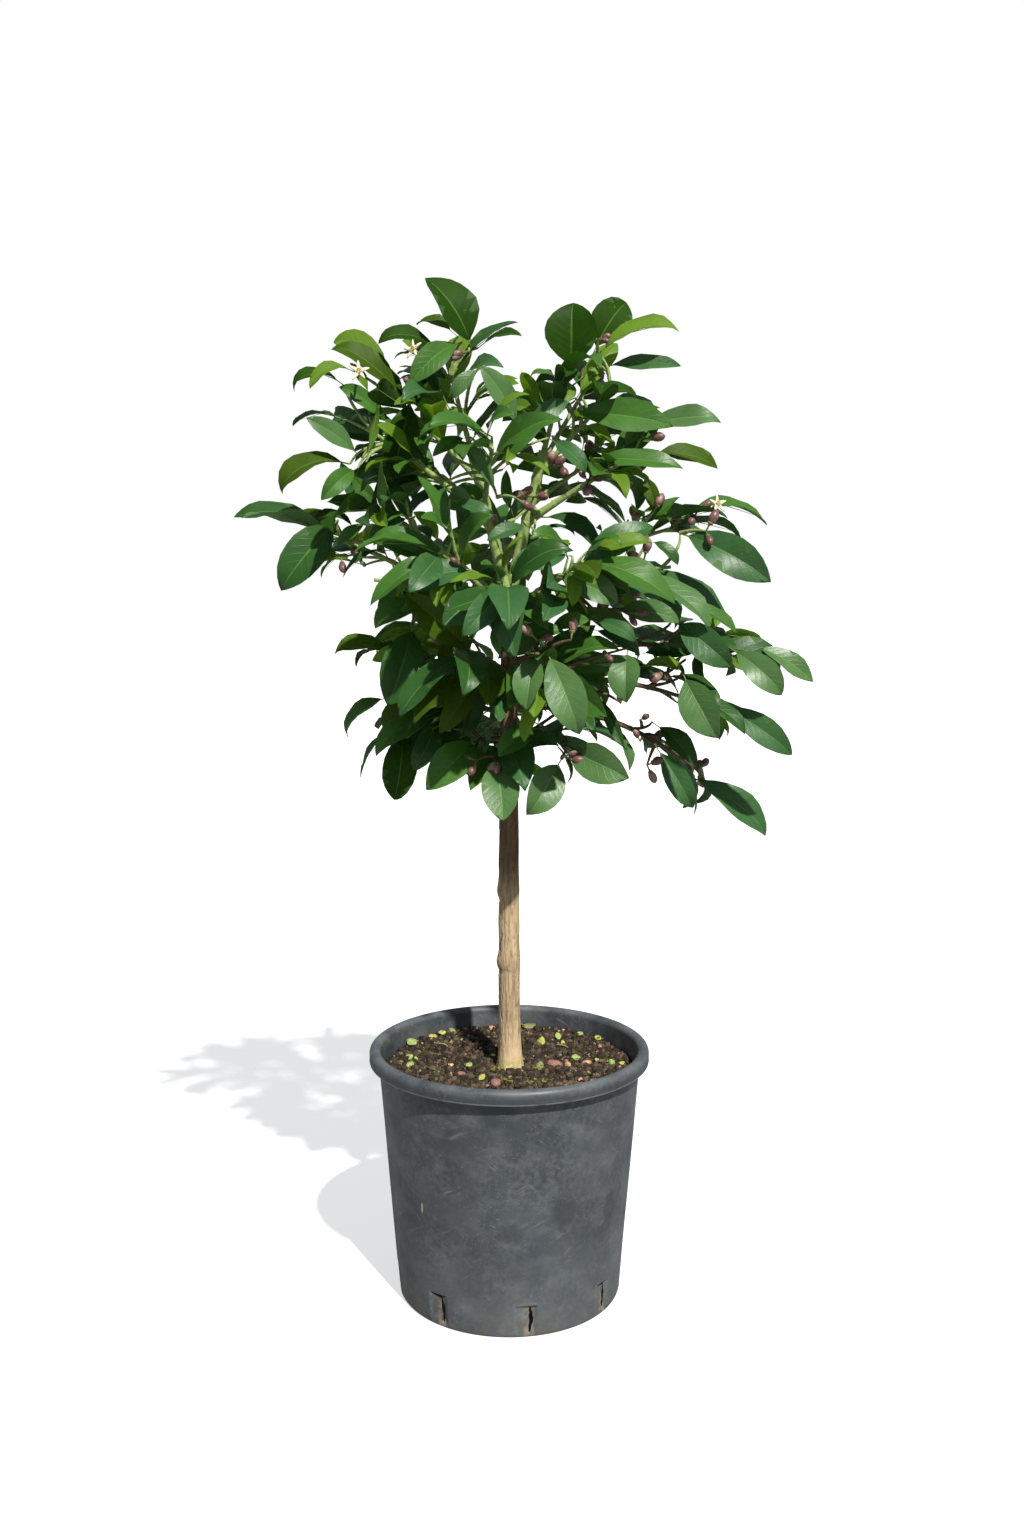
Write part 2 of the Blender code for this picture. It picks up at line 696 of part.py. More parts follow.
def limb_surface(paths):
    """One search tree of every limb's and twig's surface, as thin six-sided tubes."""
    points, faces = [], []
    for path, radii in paths:
        first = len(points)
        for number, (point, radius) in enumerate(zip(path, radii)):
            way = (path[min(number + 1, len(path) - 1)] - path[max(number - 1, 0)]).normalized()
            side = square_to(UP, way)
            points += [point + turned(side, way, corner * math.pi / 3) * radius for corner in range(6)]
        for ring in range(len(path) - 1):
            for corner in range(6):
                a, b = first + 6 * ring + corner, first + 6 * ring + (corner + 1) % 6
                faces.append((a, a + 6, b + 6, b))
    return BVHTree.FromPolygons(points, faces)


def grow(limbs):
    """Works out every mass: {name: (stem path and radii, twig paths, leaves)}. Last leaves go before others."""
    stems = {name: stem_path(name, shoot, limbs) for name, shoot in SHOOTS.items()}
    axes = {name: space_axis(stem) for name, (stem, _) in stems.items()}
    draws = {name: random.Random(f"{name} {SEED}") for name in SHOOTS}
    twigs = {}
    for name, (stem, _) in stems.items():
        twigs[name] = [path for path in twig_paths(stem, draws[name]) if in_space(path[-1], name, axes)]
    tubes = list(limbs.values()) + list(stems.values())
    tubes += [(path, [TWIG_RADIUS] * len(path)) for paths in twigs.values() for path in paths]
    limb_tree = limb_surface(tubes)
    leaves = []
    grown = {name: [] for name in SHOOTS}
    for name, shoot in SHOOTS.items():
        leaf = last_leaf(stems[name][0], place(*shoot.tip), shoot.turn, draws[name])
        new = grown_leaf(leaf, name)
        if not new.blade.overlap(limb_tree) and not any(leaves_cross(new, old) for old in leaves):
            grown[name].append(leaf)
            leaves.append(new)
    for name, shoot in SHOOTS.items():
        stem = stems[name][0]
        grown[name] += grow_leaves(name, shoot, stem, twigs[name], axes, limb_tree, leaves, draws[name])
    return {name: (stems[name], twigs[name], grown[name]) for name in SHOOTS}


# Foliage solids


def leaf_object(name, leaf, collection):
    points, faces = leaf_mesh_data(leaf)
    data = bpy.data.meshes.new(name)
    data.from_pydata(points, [], faces)
    return object_from(name, data, collection)


def bud_object(name, stem, share, roll, collection):
    """One plump bud that stands out of the stem."""
    root, heading = point_at(stem, share)
    side = turned(square_to(UP, heading), heading, roll)
    shape = bmesh.new()
    bmesh.ops.create_uvsphere(shape, u_segments=4, v_segments=2, radius=BUD_RADIUS)
    bud = object_from_bmesh(name, shape, collection)
    bud.location = root + side * BUD_STALK
    return bud


def build_mass(name, mass, limbs, parts, cutters, section, material):
    (stem, radii), twigs, leaves = mass
    straight_on = "bough_" + name not in limbs
    body = limb_curve("foliage_" + name, stem, radii, parts, material, section=section)
    if straight_on:
        body = cut_clear(body, stem, limbs, limbs, cutters)
    for number, path in enumerate(twigs):
        limb_curve(f"twig_{number}", path, (TWIG_RADIUS, TWIG_TIP_RADIUS), cutters, None, section=section)
    for number, leaf in enumerate(leaves):
        leaf_object(f"leaf_{number}", leaf, cutters)
    bud_object("bud", stem, 0.9, len(name), cutters)
    return joined_by(body, "UNION", cutters)


def main():
    clear_scene()
    parts = new_collection("potted_lemon_tree")
    cutters = new_collection("cutters")
    guides = new_collection("guides")
    plastic = finish_of("black_pot_plastic", (0.055, 0.062, 0.070), 0.55)
    earth = finish_of("potting_soil", (0.075, 0.050, 0.035), 0.95)
    bark = finish_of("grey_brown_bark", (0.36, 0.27, 0.17), 0.85)
    green_bark = finish_of("green_bark", (0.20, 0.26, 0.08), 0.6)
    foliage = finish_of("lemon_leaf", (0.030, 0.120, 0.025), 0.35)

    build_pot(parts, cutters, plastic)
    build_soil(parts, earth)
    limbs = limb_paths()
    build_limbs(limbs, parts, cutters, bark, green_bark)
    section = three_sided_section(guides)
    for name, mass in grow(limbs).items():
        build_mass(name, mass, limbs, parts, cutters, section, foliage)


main()
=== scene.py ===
"""Looks of the potted lemon tree, laid out as a Blender add-on: the scuffed nursery pot, its soil, the bark, and the
boughs, twigs, leaves, buds and flowers that grow on from the limbs by the same rule as the solids.

Metres, +Z up. The origin is at the centre of the pot's flat underside, and -Y is the front. A place on the tree is
told by its bearing round the trunk (0 is +X, 90 is +Y, the back), its reach from the trunk's line and its height.
"""

import json
import math
import random
from collections import namedtuple

import bmesh
import bpy
from bpy.props import FloatProperty, FloatVectorProperty, IntProperty, PointerProperty
from mathutils import Matrix, Vector, noise
from mathutils.bvhtree import BVHTree

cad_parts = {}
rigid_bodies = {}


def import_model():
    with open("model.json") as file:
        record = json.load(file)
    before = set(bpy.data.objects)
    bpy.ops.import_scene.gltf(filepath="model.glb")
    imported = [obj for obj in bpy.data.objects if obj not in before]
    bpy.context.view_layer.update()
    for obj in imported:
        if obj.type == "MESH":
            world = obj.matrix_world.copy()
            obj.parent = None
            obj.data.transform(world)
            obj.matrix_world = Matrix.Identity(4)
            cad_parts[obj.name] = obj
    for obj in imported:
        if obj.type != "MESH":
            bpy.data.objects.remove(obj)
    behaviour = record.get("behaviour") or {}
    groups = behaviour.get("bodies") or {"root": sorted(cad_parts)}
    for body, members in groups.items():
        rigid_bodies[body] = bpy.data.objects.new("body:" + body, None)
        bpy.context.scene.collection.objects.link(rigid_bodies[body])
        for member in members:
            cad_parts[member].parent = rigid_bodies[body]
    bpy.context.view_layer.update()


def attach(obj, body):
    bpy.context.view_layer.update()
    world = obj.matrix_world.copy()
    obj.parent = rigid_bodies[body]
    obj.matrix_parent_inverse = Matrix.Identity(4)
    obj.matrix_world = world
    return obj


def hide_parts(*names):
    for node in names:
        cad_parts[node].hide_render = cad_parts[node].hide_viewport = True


bl_info = {
    "name": "Potted lemon tree",
    "version": (1, 0, 0),
    "blender": (4, 5, 0),
    "location": "3D View > Sidebar > Lemon tree",
    "description": "Builds a potted lemon tree in bud round its CAD frame",
    "category": "Object",
}

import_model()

UP = Vector((0, 0, 1))
CLEAR = 0.0003

# The camera, solved from the pot's lip in the photograph, which is 1024 pixels wide and 1536 high
CAMERA = Vector((0.0026, -1.3643, 0.6974))
CAMERA_DIP = math.radians(6.937)
PICTURE = (1024, 1536)
FOCAL = 1400

# Pot and soil, as the solids have them
POT_HEIGHT = 0.2525
FOOT_RADIUS = 0.112
WALL_TOP_RADIUS = 0.131
WALL = 0.0025
FLOOR = 0.003
FOOT_ROUND = 0.003
RIM_RADIUS = 0.140
RIM_DEPTH = 0.014
RIM_SHEET = 0.0022
SLOTS = 8
FIRST_SLOT_BEARING = 280
SOIL_HEIGHT = 0.2285

# Trunk
TRUNK_TOP = 0.705
TRUNK_STEPS = 14
TRUNK_FOOT_RADIUS = 0.0109
TRUNK_TOP_RADIUS = 0.0072
TAPER_POWER = 1.6
FLARE = 0.0030
FLARE_HEIGHT = 0.014
KNOT_HEIGHTS = (0.338, 0.410)
KNOT_SWELL = 0.0010
KNOT_LENGTH = 0.010
TRUNK_SWAY = 0.0005

# Boughs
BOUGH_STEPS = 4
CURVE_STEPS = 40
BOUGH_RADIUS = 0.0040
BOUGH_TIP_RADIUS = 0.0028
LEADER_RADIUS = 0.0056
LEADER_TIP_RADIUS = 0.0046
KNEE = 0.42
SHORTEST_WITH_BOUGH = 0.20

# Foliage
STEM_STEPS = 4
STEM_TIP_RADIUS = 0.0016
TWIG_RADIUS = 0.0016
TWIG_TIP_RADIUS = 0.0012
TWIG_LENGTH = (0.030, 0.046)
TWIG_PLACES = (0.5,)
TWIG_SPREAD = math.radians(52)
SPIRAL = math.radians(137.5)
SPACE_OVERLAP = 0.022
SPACE_BEYOND = 0.045
LIMB_CLEARANCE = 0.003
TRIES = 9
SEED = 8
LEAF_LENGTH = (0.076, 0.102)
LEAF_WIDTH = 0.46
LEAF_STALK = 0.010
LEAF_ROOT_RADIUS = 0.0006
LEAF_KEEL = 0.020
LEAF_FOLD = (10, 26)
LEAF_BEND = (20, 68)
LEAF_SPREAD = (56, 34)
LEAF_ROLL = 55
LEAF_LEVEL = 0.65
LEAF_SINK = (0.14, -0.05)
LEAF_STATIONS = ((0.34, 0.94), (0.72, 0.80))
TWIG_LEAVES = 3
FIRST_LEAF = 0.15
NEAREST_LEAF = 0.019
LEAF_CROWDING = 0.6
LAST_LEAF = (0.082, 0.096)
LAST_LEAF_BEND = (38, 72)
TO_LIGHT = (0.12, -0.36, 0.05)
MOST_BEFORE_OPENING = 2
GROWN_SIZE = 0.92

# Each shoot: what it forks from and where (a height on the trunk, or a share of a leader's length), where the
# tip of its last leaf reaches, how far it bows upwards as a share of its length, the leaves set along it, and
# how far its last leaf is turned about its own line, in degrees.
Shoot = namedtuple("Shoot", "parent fork tip bow leaves turn")
LEADERS = {
    "leader_left": ("trunk", 0.694, (196, 0.036, 0.83), 0.04, 0, 0),
    "leader_right": ("trunk", 0.696, (335, 0.036, 0.835), 0.04, 0, 0),
}
SHOOTS = {
    "top_left": ("leader_left", 0.95, (194, 0.082, 0.992), 0.02, 7, -80),
    "top_right": ("leader_right", 0.95, (356, 0.072, 0.974), 0.02, 7, 75),
    "top_back_right": ("leader_right", 0.88, (20, 0.128, 0.972), 0.03, 7, 60),
    "upper_left": ("leader_left", 0.82, (187, 0.17, 0.937), 0.05, 8, -60),
    "upper_far_left": ("leader_left", 0.5, (193, 0.21, 0.888), 0.12, 8, -55),
    "left_high": ("trunk", 0.684, (192, 0.222, 0.797), 0.24, 8, -45),
    "far_left": ("trunk", 0.66, (180, 0.264, 0.775), 0.16, 7, -20),
    "left_mid": ("trunk", 0.664, (199, 0.222, 0.704), 0.24, 5, -50),
    "left_low": ("trunk", 0.61, (193, 0.176, 0.647), 0.14, 5, -28),
    "left_bottom": ("trunk", 0.584, (190, 0.165, 0.566), 0.22, 5, -45),
    "left_foot": ("trunk", 0.56, (202, 0.11, 0.504), 0.3, 5, -40),
    "front_foot": ("trunk", 0.556, (270, 0.1, 0.496), 0.34, 5, 0),
    "right_foot": ("trunk", 0.566, (322, 0.142, 0.531), 0.26, 5, 25),
    "right_bottom": ("trunk", 0.592, (4, 0.258, 0.463), 0.26, 7, 45),
    "right_low": ("trunk", 0.612, (349, 0.272, 0.551), 0.22, 7, 40),
    "right_mid": ("trunk", 0.634, (355, 0.29, 0.618), 0.18, 5, 30),
    "right": ("trunk", 0.668, (346, 0.25, 0.715), 0.24, 6, 50),
    "right_up": ("trunk", 0.682, (5, 0.252, 0.773), 0.2, 7, 25),
    "right_high": ("leader_right", 0.5, (343, 0.2, 0.863), 0.06, 7, 42),
    "right_top": ("leader_right", 0.82, (347, 0.164, 0.945), 0.06, 7, 60),
    "front_high": ("leader_left", 0.68, (268, 0.18, 0.86), 0.06, 7, 10),
    "front_left": ("trunk", 0.676, (240, 0.215, 0.758), 0.12, 7, -20),
    "front": ("trunk", 0.658, (270, 0.22, 0.712), 0.16, 7, 15),
    "front_right": ("trunk", 0.668, (302, 0.215, 0.752), 0.12, 7, 20),
    "front_low_left": ("trunk", 0.622, (246, 0.19, 0.64), 0.18, 6, -15),
    "front_low": ("trunk", 0.604, (292, 0.195, 0.618), 0.2, 6, 12),
    "back_high_left": ("leader_left", 0.6, (148, 0.175, 0.87), 0.04, 7, 20),
    "back_high_right": ("leader_right", 0.62, (40, 0.185, 0.87), 0.04, 7, -20),
    "back_left": ("trunk", 0.668, (136, 0.225, 0.762), 0.12, 7, 25),
    "back": ("trunk", 0.688, (94, 0.22, 0.796), 0.1, 7, -10),
    "back_right": ("trunk", 0.652, (42, 0.23, 0.72), 0.14, 7, -25),
    "back_low_left": ("trunk", 0.622, (128, 0.205, 0.64), 0.18, 6, 20),
    "back_low_right": ("trunk", 0.6, (66, 0.205, 0.618), 0.2, 6, -15),
    "back_foot": ("trunk", 0.574, (106, 0.14, 0.53), 0.26, 5, 10),
}
for rows in (LEADERS, SHOOTS):
    rows.update({name: Shoot(*row) for name, row in rows.items()})

# Leaves that make up the outline or stand out in front, set for each mass: where the blade's stalk starts and
# where its tip lies, as pixels across and down in the photograph and millimetres behind the trunk's line, how far the
# leaf is bent and turned about its own line, in degrees, its breadth and its tone
# The very dark olive tone among them is painted shade, for leaves that face away from the light.
SET_LEAVES = {
    "top_left": (
        ((472, 350, -16), (425, 278, -24), 62, -68, 1.75, "mossy"),
        ((478, 348, -16), (522, 335, -45), 46, 34, 0.9, "mossy"),
        ((440, 347, -16), (376, 340, -30), 52, -32, 1.1, "mossy"),
        ((462, 342, -22), (410, 384, -50), 60, -50, 1.0, "grown"),
        ((458, 337, 10), (416, 324, 16), 80, -45, 1.3, "olive"),
    ),
    "upper_left": (
        ((403, 398, -14), (331, 342, -30), 40, -52, 0.95, "olive"),
        ((392, 374, 4), (331, 339, -5), 72, -62, 1.1, "young"),
        ((412, 395, -20), (392, 478, -30), 30, -70, 1.1, "mossy"),
    ),
    "upper_far_left": (
        ((345, 386, -35), (289, 389, -50), 95, -30, 1.0, "mossy"),
        ((355, 372, -40), (311, 389, -60), 100, -28, 1.0, "young"),
        ((362, 458, -30), (306, 418, -50), 30, -65, 0.95, "pale"),
        ((392, 428, -25), (338, 384, -38), 40, -62, 0.8, "grown"),
        ((372, 400, -30), (350, 362, -36), 30, -70, 0.9, "young"),
        ((345, 420, -10), (293, 427, 0), 70, -20, 1.0, "deep"),
    ),
    "left_high": (
        ((350, 464, -28), (277, 493, -46), 85, -34, 1.1, "olive"),
        ((358, 468, -40), (321, 500, -70), 70, -55, 1.0, "grown"),
        ((366, 462, -38), (378, 403, -45), 20, -75, 0.5, "young"),
        ((415, 516, -50), (368, 538, -60), 40, -60, 1.0, "bluish"),
        ((358, 532, 10), (312, 520, 0), 90, -35, 1.1, "mossy"),
    ),
    "far_left": (
        ((322, 522, 0), (234, 518, 0), 42, -28, 0.85, "deep"),
        ((338, 520, -10), (279, 591, -40), 50, -62, 1.15, "deep"),
        ((372, 520, -20), (337, 545, -30), 40, -60, 1.0, "grown"),
    ),
    "left_mid": (
        ((425, 612, -45), (373, 628, -70), 105, -45, 1.15, "grown"),
        ((394, 550, -30), (343, 578, -40), 70, -25, 0.6, "deep"),
        ((446, 622, -50), (440, 676, -60), 30, -60, 0.9, "olive"),
    ),
    "left_low": (
        ((394, 652, -20), (332, 652, -40), 70, -45, 1.15, "olive"),
        ((413, 625, -50), (388, 706, -80), 62, -50, 1.25, "deep"),
        ((478, 655, -40), (465, 742, -55), 30, -60, 0.8, "deep"),
    ),
    "left_bottom": (
        ((390, 697, -14), (343, 737, -30), 80, -35, 1.0, "grown"),
        ((405, 722, 0), (361, 779, -10), 60, -15, 0.6, "bluish"),
        ((432, 700, -30), (378, 726, -45), 60, -45, 1.0, "olive"),
        ((438, 686, -45), (408, 698, -60), 50, -60, 1.0, "bluish"),
    ),
    "left_foot": (
        ((402, 730, -10), (394, 800, -30), 100, -32, 1.15, "mossy"),
        ((440, 715, -20), (412, 772, -50), 50, -60, 1.0, "deep"),
        ((476, 743, -50), (427, 790, -90), 90, -54, 1.2, "grown"),
    ),
    "front_foot": (
        ((494, 756, -70), (503, 822, -108), 40, 0, 1.45, "pale"),
        ((537, 728, -60), (497, 756, -95), 60, -45, 1.2, "grown"),
    ),
    "right_foot": (
        ((562, 758, -70), (529, 816, -105), 35, -50, 1.4, "pale"),
        ((565, 748, -70), (629, 779, -110), 46, 70, 1.3, "pale"),
    ),
    "front_low": (
        ((536, 648, -125), (526, 711, -155), 35, -5, 1.3, "pale"),
        ((546, 650, -125), (580, 736, -150), 35, 42, 1.15, "pale"),
        ((545, 634, -100), (590, 620, -120), 60, 60, 1.0, "grown"),
    ),
    "front_low_left": (((492, 584, -100), (442, 626, -128), 30, -60, 1.3, "bluish"),),
    "front": (
        ((508, 588, -128), (510, 626, -213), 50, 4, 1.0, "bluish"),
        ((531, 526, -90), (487, 541, -112), 50, -55, 1.0, "bluish"),
        ((572, 556, -90), (509, 572, -120), 60, -55, 1.1, "bluish"),
        ((490, 588, -110), (546, 622, -135), 45, 60, 1.1, "bluish"),
    ),
    "front_left": (
        ((497, 497, -70), (455, 440, -95), 40, -75, 0.95, "pale"),
        ((470, 437, -80), (433, 457, -100), 60, -50, 1.0, "grown"),
        ((446, 482, -90), (433, 512, -110), 50, -60, 1.1, "bluish"),
        ((444, 488, -80), (471, 499, -100), 50, 50, 0.9, "pale"),
        ((450, 500, -90), (493, 518, -108), 40, 55, 1.0, "bluish"),
        ((478, 573, -100), (404, 590, -112), 62, -50, 1.1, "bluish"),
    ),
    "front_high": (
        ((519, 432, -70), (480, 366, -80), 40, -70, 0.95, "pale"),
        ((484, 366, -80), (451, 399, -88), 60, -60, 1.0, "pale"),
        ((492, 437, -80), (414, 440, -92), 85, -38, 0.9, "grown"),
        ((514, 520, -34), (507, 470, -42), 22, 168, 0.9, "grown"),
    ),
    "front_right": (
        ((553, 576, -95), (621, 603, -118), 45, 60, 1.15, "pale"),
        ((600, 572, -90), (638, 566, -105), 40, 60, 1.0, "grown"),
        ((590, 620, -100), (637, 641, -122), 50, 45, 1.0, "bluish"),
    ),
    "right_low": (
        ((682, 672, -70), (717, 739, -105), 30, 60, 1.35, "pale"),
        ((715, 702, -36), (795, 756, -50), 30, 62, 0.8, "bluish"),
        ((700, 642, -20), (706, 692, -32), 60, 60, 0.9, "deep"),
        ((598, 692, -60), (624, 748, -80), 20, 60, 0.6, "deep"),
    ),
    "right_bottom": (
        ((690, 776, 13), (770, 836, 18), 45, 60, 0.8, "bluish"),
        ((652, 722, -10), (696, 768, -20), 60, 55, 1.1, "deep"),
        ((655, 745, -20), (694, 811, -35), 34, 60, 0.9, "bluish"),
    ),
    "right_mid": (
        ((628, 648, -90), (625, 703, -120), 50, 5, 1.5, "pale"),
        ((672, 620, -60), (733, 669, -90), 45, 62, 1.1, "bluish"),
        ((668, 600, -30), (738, 634, -46), 50, 42, 0.9, "grown"),
        ((636, 655, -20), (692, 654, -34), 40, 50, 0.9, "deep"),
        ((610, 610, -80), (682, 620, -105), 36, 58, 0.95, "pale"),
        ((588, 628, -60), (642, 654, -72), 40, 52, 0.8, "deep"),
        ((730, 648, -40), (785, 696, -65), 60, 62, 1.1, "pale"),
        ((750, 645, -20), (812, 682, -25), 40, 45, 0.9, "pale"),
    ),
    "right": (
        ((640, 570, -20), (728, 622, -18), 40, 30, 1.0, "bluish"),
        ((680, 533, -30), (771, 582, -60), 42, 62, 1.0, "bluish"),
        ((645, 540, -30), (678, 565, -40), 70, 40, 1.0, "deep"),
        ((540, 517, -10), (600, 566, -20), 100, 35, 0.9, "deep"),
    ),
    "right_up": (
        ((688, 508, 10), (767, 526, 20), 64, 34, 0.95, "grown"),
        ((533, 535, -30), (577, 534, -40), 70, 25, 0.6, "deep"),
        ((628, 520, -30), (601, 558, -40), 30, -60, 1.2, "olive"),
        ((640, 530, -20), (680, 497, -30), 30, 70, 0.9, "grown"),
    ),
    "right_top": (
        ((598, 354, -20), (681, 327, -37), 62, 42, 1.0, "young"),
        ((602, 366, -20), (682, 364, -30), 14, 60, 0.65, "bluish"),
        ((580, 397, -25), (641, 396, -30), 50, 40, 1.0, "mossy"),
    ),
    "right_high": (
        ((570, 412, -36), (674, 425, -60), 25, 72, 0.9, "grown"),
        ((640, 425, -30), (721, 416, -58), 20, 68, 0.9, "pale"),
        ((648, 454, -10), (719, 468, 0), 48, 52, 1.0, "olive"),
        ((590, 458, -50), (684, 466, -70), 20, 66, 0.75, "grown"),
        ((575, 398, -40), (529, 422, -60), 30, -70, 1.0, "bluish"),
        ((548, 438, -70), (588, 472, -92), 50, 50, 1.0, "bluish"),
        ((641, 470, -20), (657, 512, -30), 50, 50, 1.0, "olive"),
    ),
    "top_right": (
        ((571, 376, -5), (572, 300, -12), 25, 175, 2.05, "mossy"),
        ((562, 380, -20), (529, 374, -35), 50, -50, 1.0, "grown"),
    ),
    "top_back_right": (((592, 356, 14), (626, 303, 26), 60, 56, 1.65, "mossy"),),
}
# Where a limb or the sky is seen past the leaves in front of the trunk: pixels across and down, and the radius
VIEWS = (
    (507, 512, 9), (516, 492, 7), (528, 470, 7), (541, 448, 7), (552, 428, 7), (565, 408, 7), (578, 388, 6),
    (426, 524, 6), (440, 540, 6), (455, 553, 6), (455, 385, 6), (450, 365, 5), (520, 448, 6), (482, 455, 6),
)
# Openings of the crown, where the photograph shows sky: pixels across and down, and the radius in pixels
OPENINGS = (
    (494, 304, 22), (385, 357, 11), (532, 350, 22), (508, 350, 16), (465, 388, 13), (305, 404, 18), (318, 440, 18),
    (292, 448, 16), (415, 457, 8), (300, 496, 14), (356, 506, 13), (282, 532, 18), (365, 545, 10), (500, 430, 9),
    (492, 456, 11), (436, 508, 11), (346, 584, 26), (306, 596, 24), (334, 622, 26), (388, 572, 18), (392, 624, 13),
    (428, 590, 9), (415, 656, 12), (460, 640, 12), (454, 662, 11), (478, 700, 13), (488, 722, 11), (364, 718, 11),
    (404, 796, 18), (442, 778, 17), (466, 796, 24), (484, 824, 20), (430, 806, 14), (542, 334, 13), (650, 346, 26),
    (640, 378, 20), (676, 386, 14), (616, 374, 10), (570, 428, 8), (624, 440, 13), (650, 440, 10), (692, 482, 24),
    (655, 470, 11), (676, 496, 16), (724, 462, 12), (585, 545, 15), (568, 562, 11), (612, 496, 9), (645, 492, 11),
    (560, 515, 12), (588, 516, 12), (548, 482, 9), (740, 514, 10), (662, 546, 22), (688, 562, 24), (722, 576, 20),
    (652, 566, 12), (700, 590, 12), (748, 612, 14), (565, 606, 11), (625, 582, 8), (517, 628, 9), (702, 660, 18),
    (718, 682, 18), (744, 690, 18), (768, 706, 16), (786, 724, 12), (620, 692, 22), (642, 702, 22), (622, 718, 20),
    (670, 716, 14), (706, 744, 20), (734, 752, 22), (748, 778, 16), (656, 784, 24), (694, 826, 22), (724, 824, 22),
    (744, 806, 12), (572, 788, 16), (524, 782, 16), (556, 818, 12), (556, 738, 10), (790, 640, 14), (530, 804, 14),
    (592, 802, 14), (602, 818, 14), (660, 804, 14), (714, 772, 12), (268, 560, 18), (272, 578, 14), (364, 588, 16),
    (528, 832, 14), (490, 842, 16), (420, 768, 12), (496, 300, 16), (545, 318, 12), (690, 376, 14), (718, 386, 14),
    (730, 592, 18), (764, 626, 14), (690, 576, 16), (580, 536, 14), (566, 522, 10), (352, 500, 10), (372, 552, 12),
)
# Buds and flowers that the photograph shows: pixels across and down, and how many buds hang together
SET_BUDS = (
    (412, 378, 1), (404, 401, 2), (469, 351, 2), (341, 557, 1), (361, 564, 1), (397, 585, 2), (463, 566, 1),
    (544, 578, 2), (516, 498, 2), (533, 497, 3), (597, 339, 2), (644, 439, 2), (706, 531, 2), (697, 512, 2),
    (653, 513, 1), (644, 560, 3), (626, 586, 2), (588, 481, 3), (420, 622, 3), (427, 634, 1), (537, 640, 2),
    (627, 613, 2), (603, 653, 1), (668, 671, 2), (640, 720, 1), (640, 741, 1), (647, 765, 2), (621, 703, 1),
    (563, 757, 2), (477, 760, 2), (500, 759, 2), (365, 540, 1), (548, 470, 2), (571, 640, 1), (495, 530, 2),
)
SET_FLOWERS = ((359, 375), (712, 508), (418, 353))

Leaf = namedtuple("Leaf", "root along face length bend fold breadth tone", defaults=(1.0, ""))
Grown = namedtuple("Grown", "mass middle blade whole")
Crown = namedtuple("Crown", "limbs stems twigs leaves fine_twigs fine_leaves buds flowers")

# Parts of the crown, for joining its leaves: the words that a mass's name starts with
CROWN_PARTS = {
    "top": ("top", "upper"),
    "left": ("left", "far_left"),
    "right": ("right",),
    "front": ("front",),
    "back": ("back",),
}


# The user's sizes and colours


def length(name, description, default):
    return FloatProperty(name=name, description=description, default=default, unit="LENGTH")


def angle(name, description, degrees):
    return FloatProperty(name=name, description=description, default=math.radians(degrees), subtype="ANGLE")


def colour(name, description, default):
    return FloatVectorProperty(name=name, description=description, subtype="COLOR", size=3, default=default)


class PotAndSoilSizes(bpy.types.PropertyGroup):
    dent: length("Dents", "How far the wall is out of true", 0.0005)
    pocket_depth: length("Pocket depth", "How far the wall is pressed in at each drain", 0.0026)
    pocket_width: length("Pocket width", "Width of each pressed-in drain pocket", 0.018)
    slit_width: length("Slit width", "Width of each drain slit at its middle", 0.0034)
    slit_top: length("Slit top", "Height of each slit's top end", 0.031)
    clod: length("Clods", "Height of the soil's largest lumps", 0.0048)
    crumbs: IntProperty(name="Crumbs", description="Dark crumbs for each square metre of soil", default=62000)


class PlantSizes(bpy.types.PropertyGroup):
    leaf_thickness: length("Leaf thickness", "Thickness of a leaf beside its midrib", 0.0006)
    leaf_wave: length("Margin wave", "How far a leaf's margin waves", 0.0022)
    bark_relief: length("Bark relief", "Depth of the cracks in the trunk's bark", 0.0009)
    fine_twigs: IntProperty(name="Fine twigs", description="Short extra twigs tried in each mass", default=3)
    fine_leaf: FloatProperty(name="Young leaf", description="Its size as a share of a grown one", default=0.55)
    bud_size: length("Bud", "Radius of a flower bud", 0.0049)
    flower_size: length("Flower", "Length of a flower's petals", 0.0115)


class TreeColours(bpy.types.PropertyGroup):
    plastic: colour("Plastic", "Blue-grey black of the pot", (0.055, 0.067, 0.078))
    dust: colour("Dust", "Pale scuffs and dried dust on the pot", (0.19, 0.205, 0.215))
    earth: colour("Earth", "Moist potting soil", (0.052, 0.038, 0.025))
    old_bark: colour("Old bark", "Pale bark of the bare stem", (0.50, 0.37, 0.225))
    # Brown bark: the real bark of the low boughs and twigs; on the trunk inside the crown it is also painted shadow of
    # the crown.
    brown_bark: colour("Brown bark", "Bark inside the crown", (0.16, 0.11, 0.06))
    green_bark: colour("Green bark", "Bark of leaders and young boughs", (0.29, 0.40, 0.12))
    leaf: colour("Leaf", "Upper side of a grown leaf", (0.066, 0.185, 0.026))
    deep_leaf: colour("Deep leaf", "Upper side of an old, dark leaf", (0.030, 0.105, 0.018))
    young_leaf: colour("Young leaf", "Upper side of a young leaf", (0.165, 0.290, 0.030))
    underside: colour("Underside", "Paler underside of the leaves", (0.085, 0.180, 0.050))
    bud: colour("Bud", "Purple-brown flower buds", (0.170, 0.078, 0.072))
    petal: colour("Petal", "Cream-white petals", (0.80, 0.76, 0.62))


class StudioSettings(bpy.types.PropertyGroup):
    sun_bearing: angle("Light bearing", "Where the main light stands", 293)
    sun_height: angle("Light height", "How high the main light stands", 48)
    sun_softness: angle("Softness", "How wide the main light is", 1.5)
    sun_strength: FloatProperty(name="Strength", description="Strength of the main light", default=5.0)
    fill_strength: FloatProperty(name="Fill", description="Strength of the light from all round", default=0.31)


def pot_sizes():
    return bpy.context.scene.lemon_pot


def plant_sizes():
    return bpy.context.scene.lemon_plant


def colours():
    return bpy.context.scene.lemon_colours


# Objects and meshes


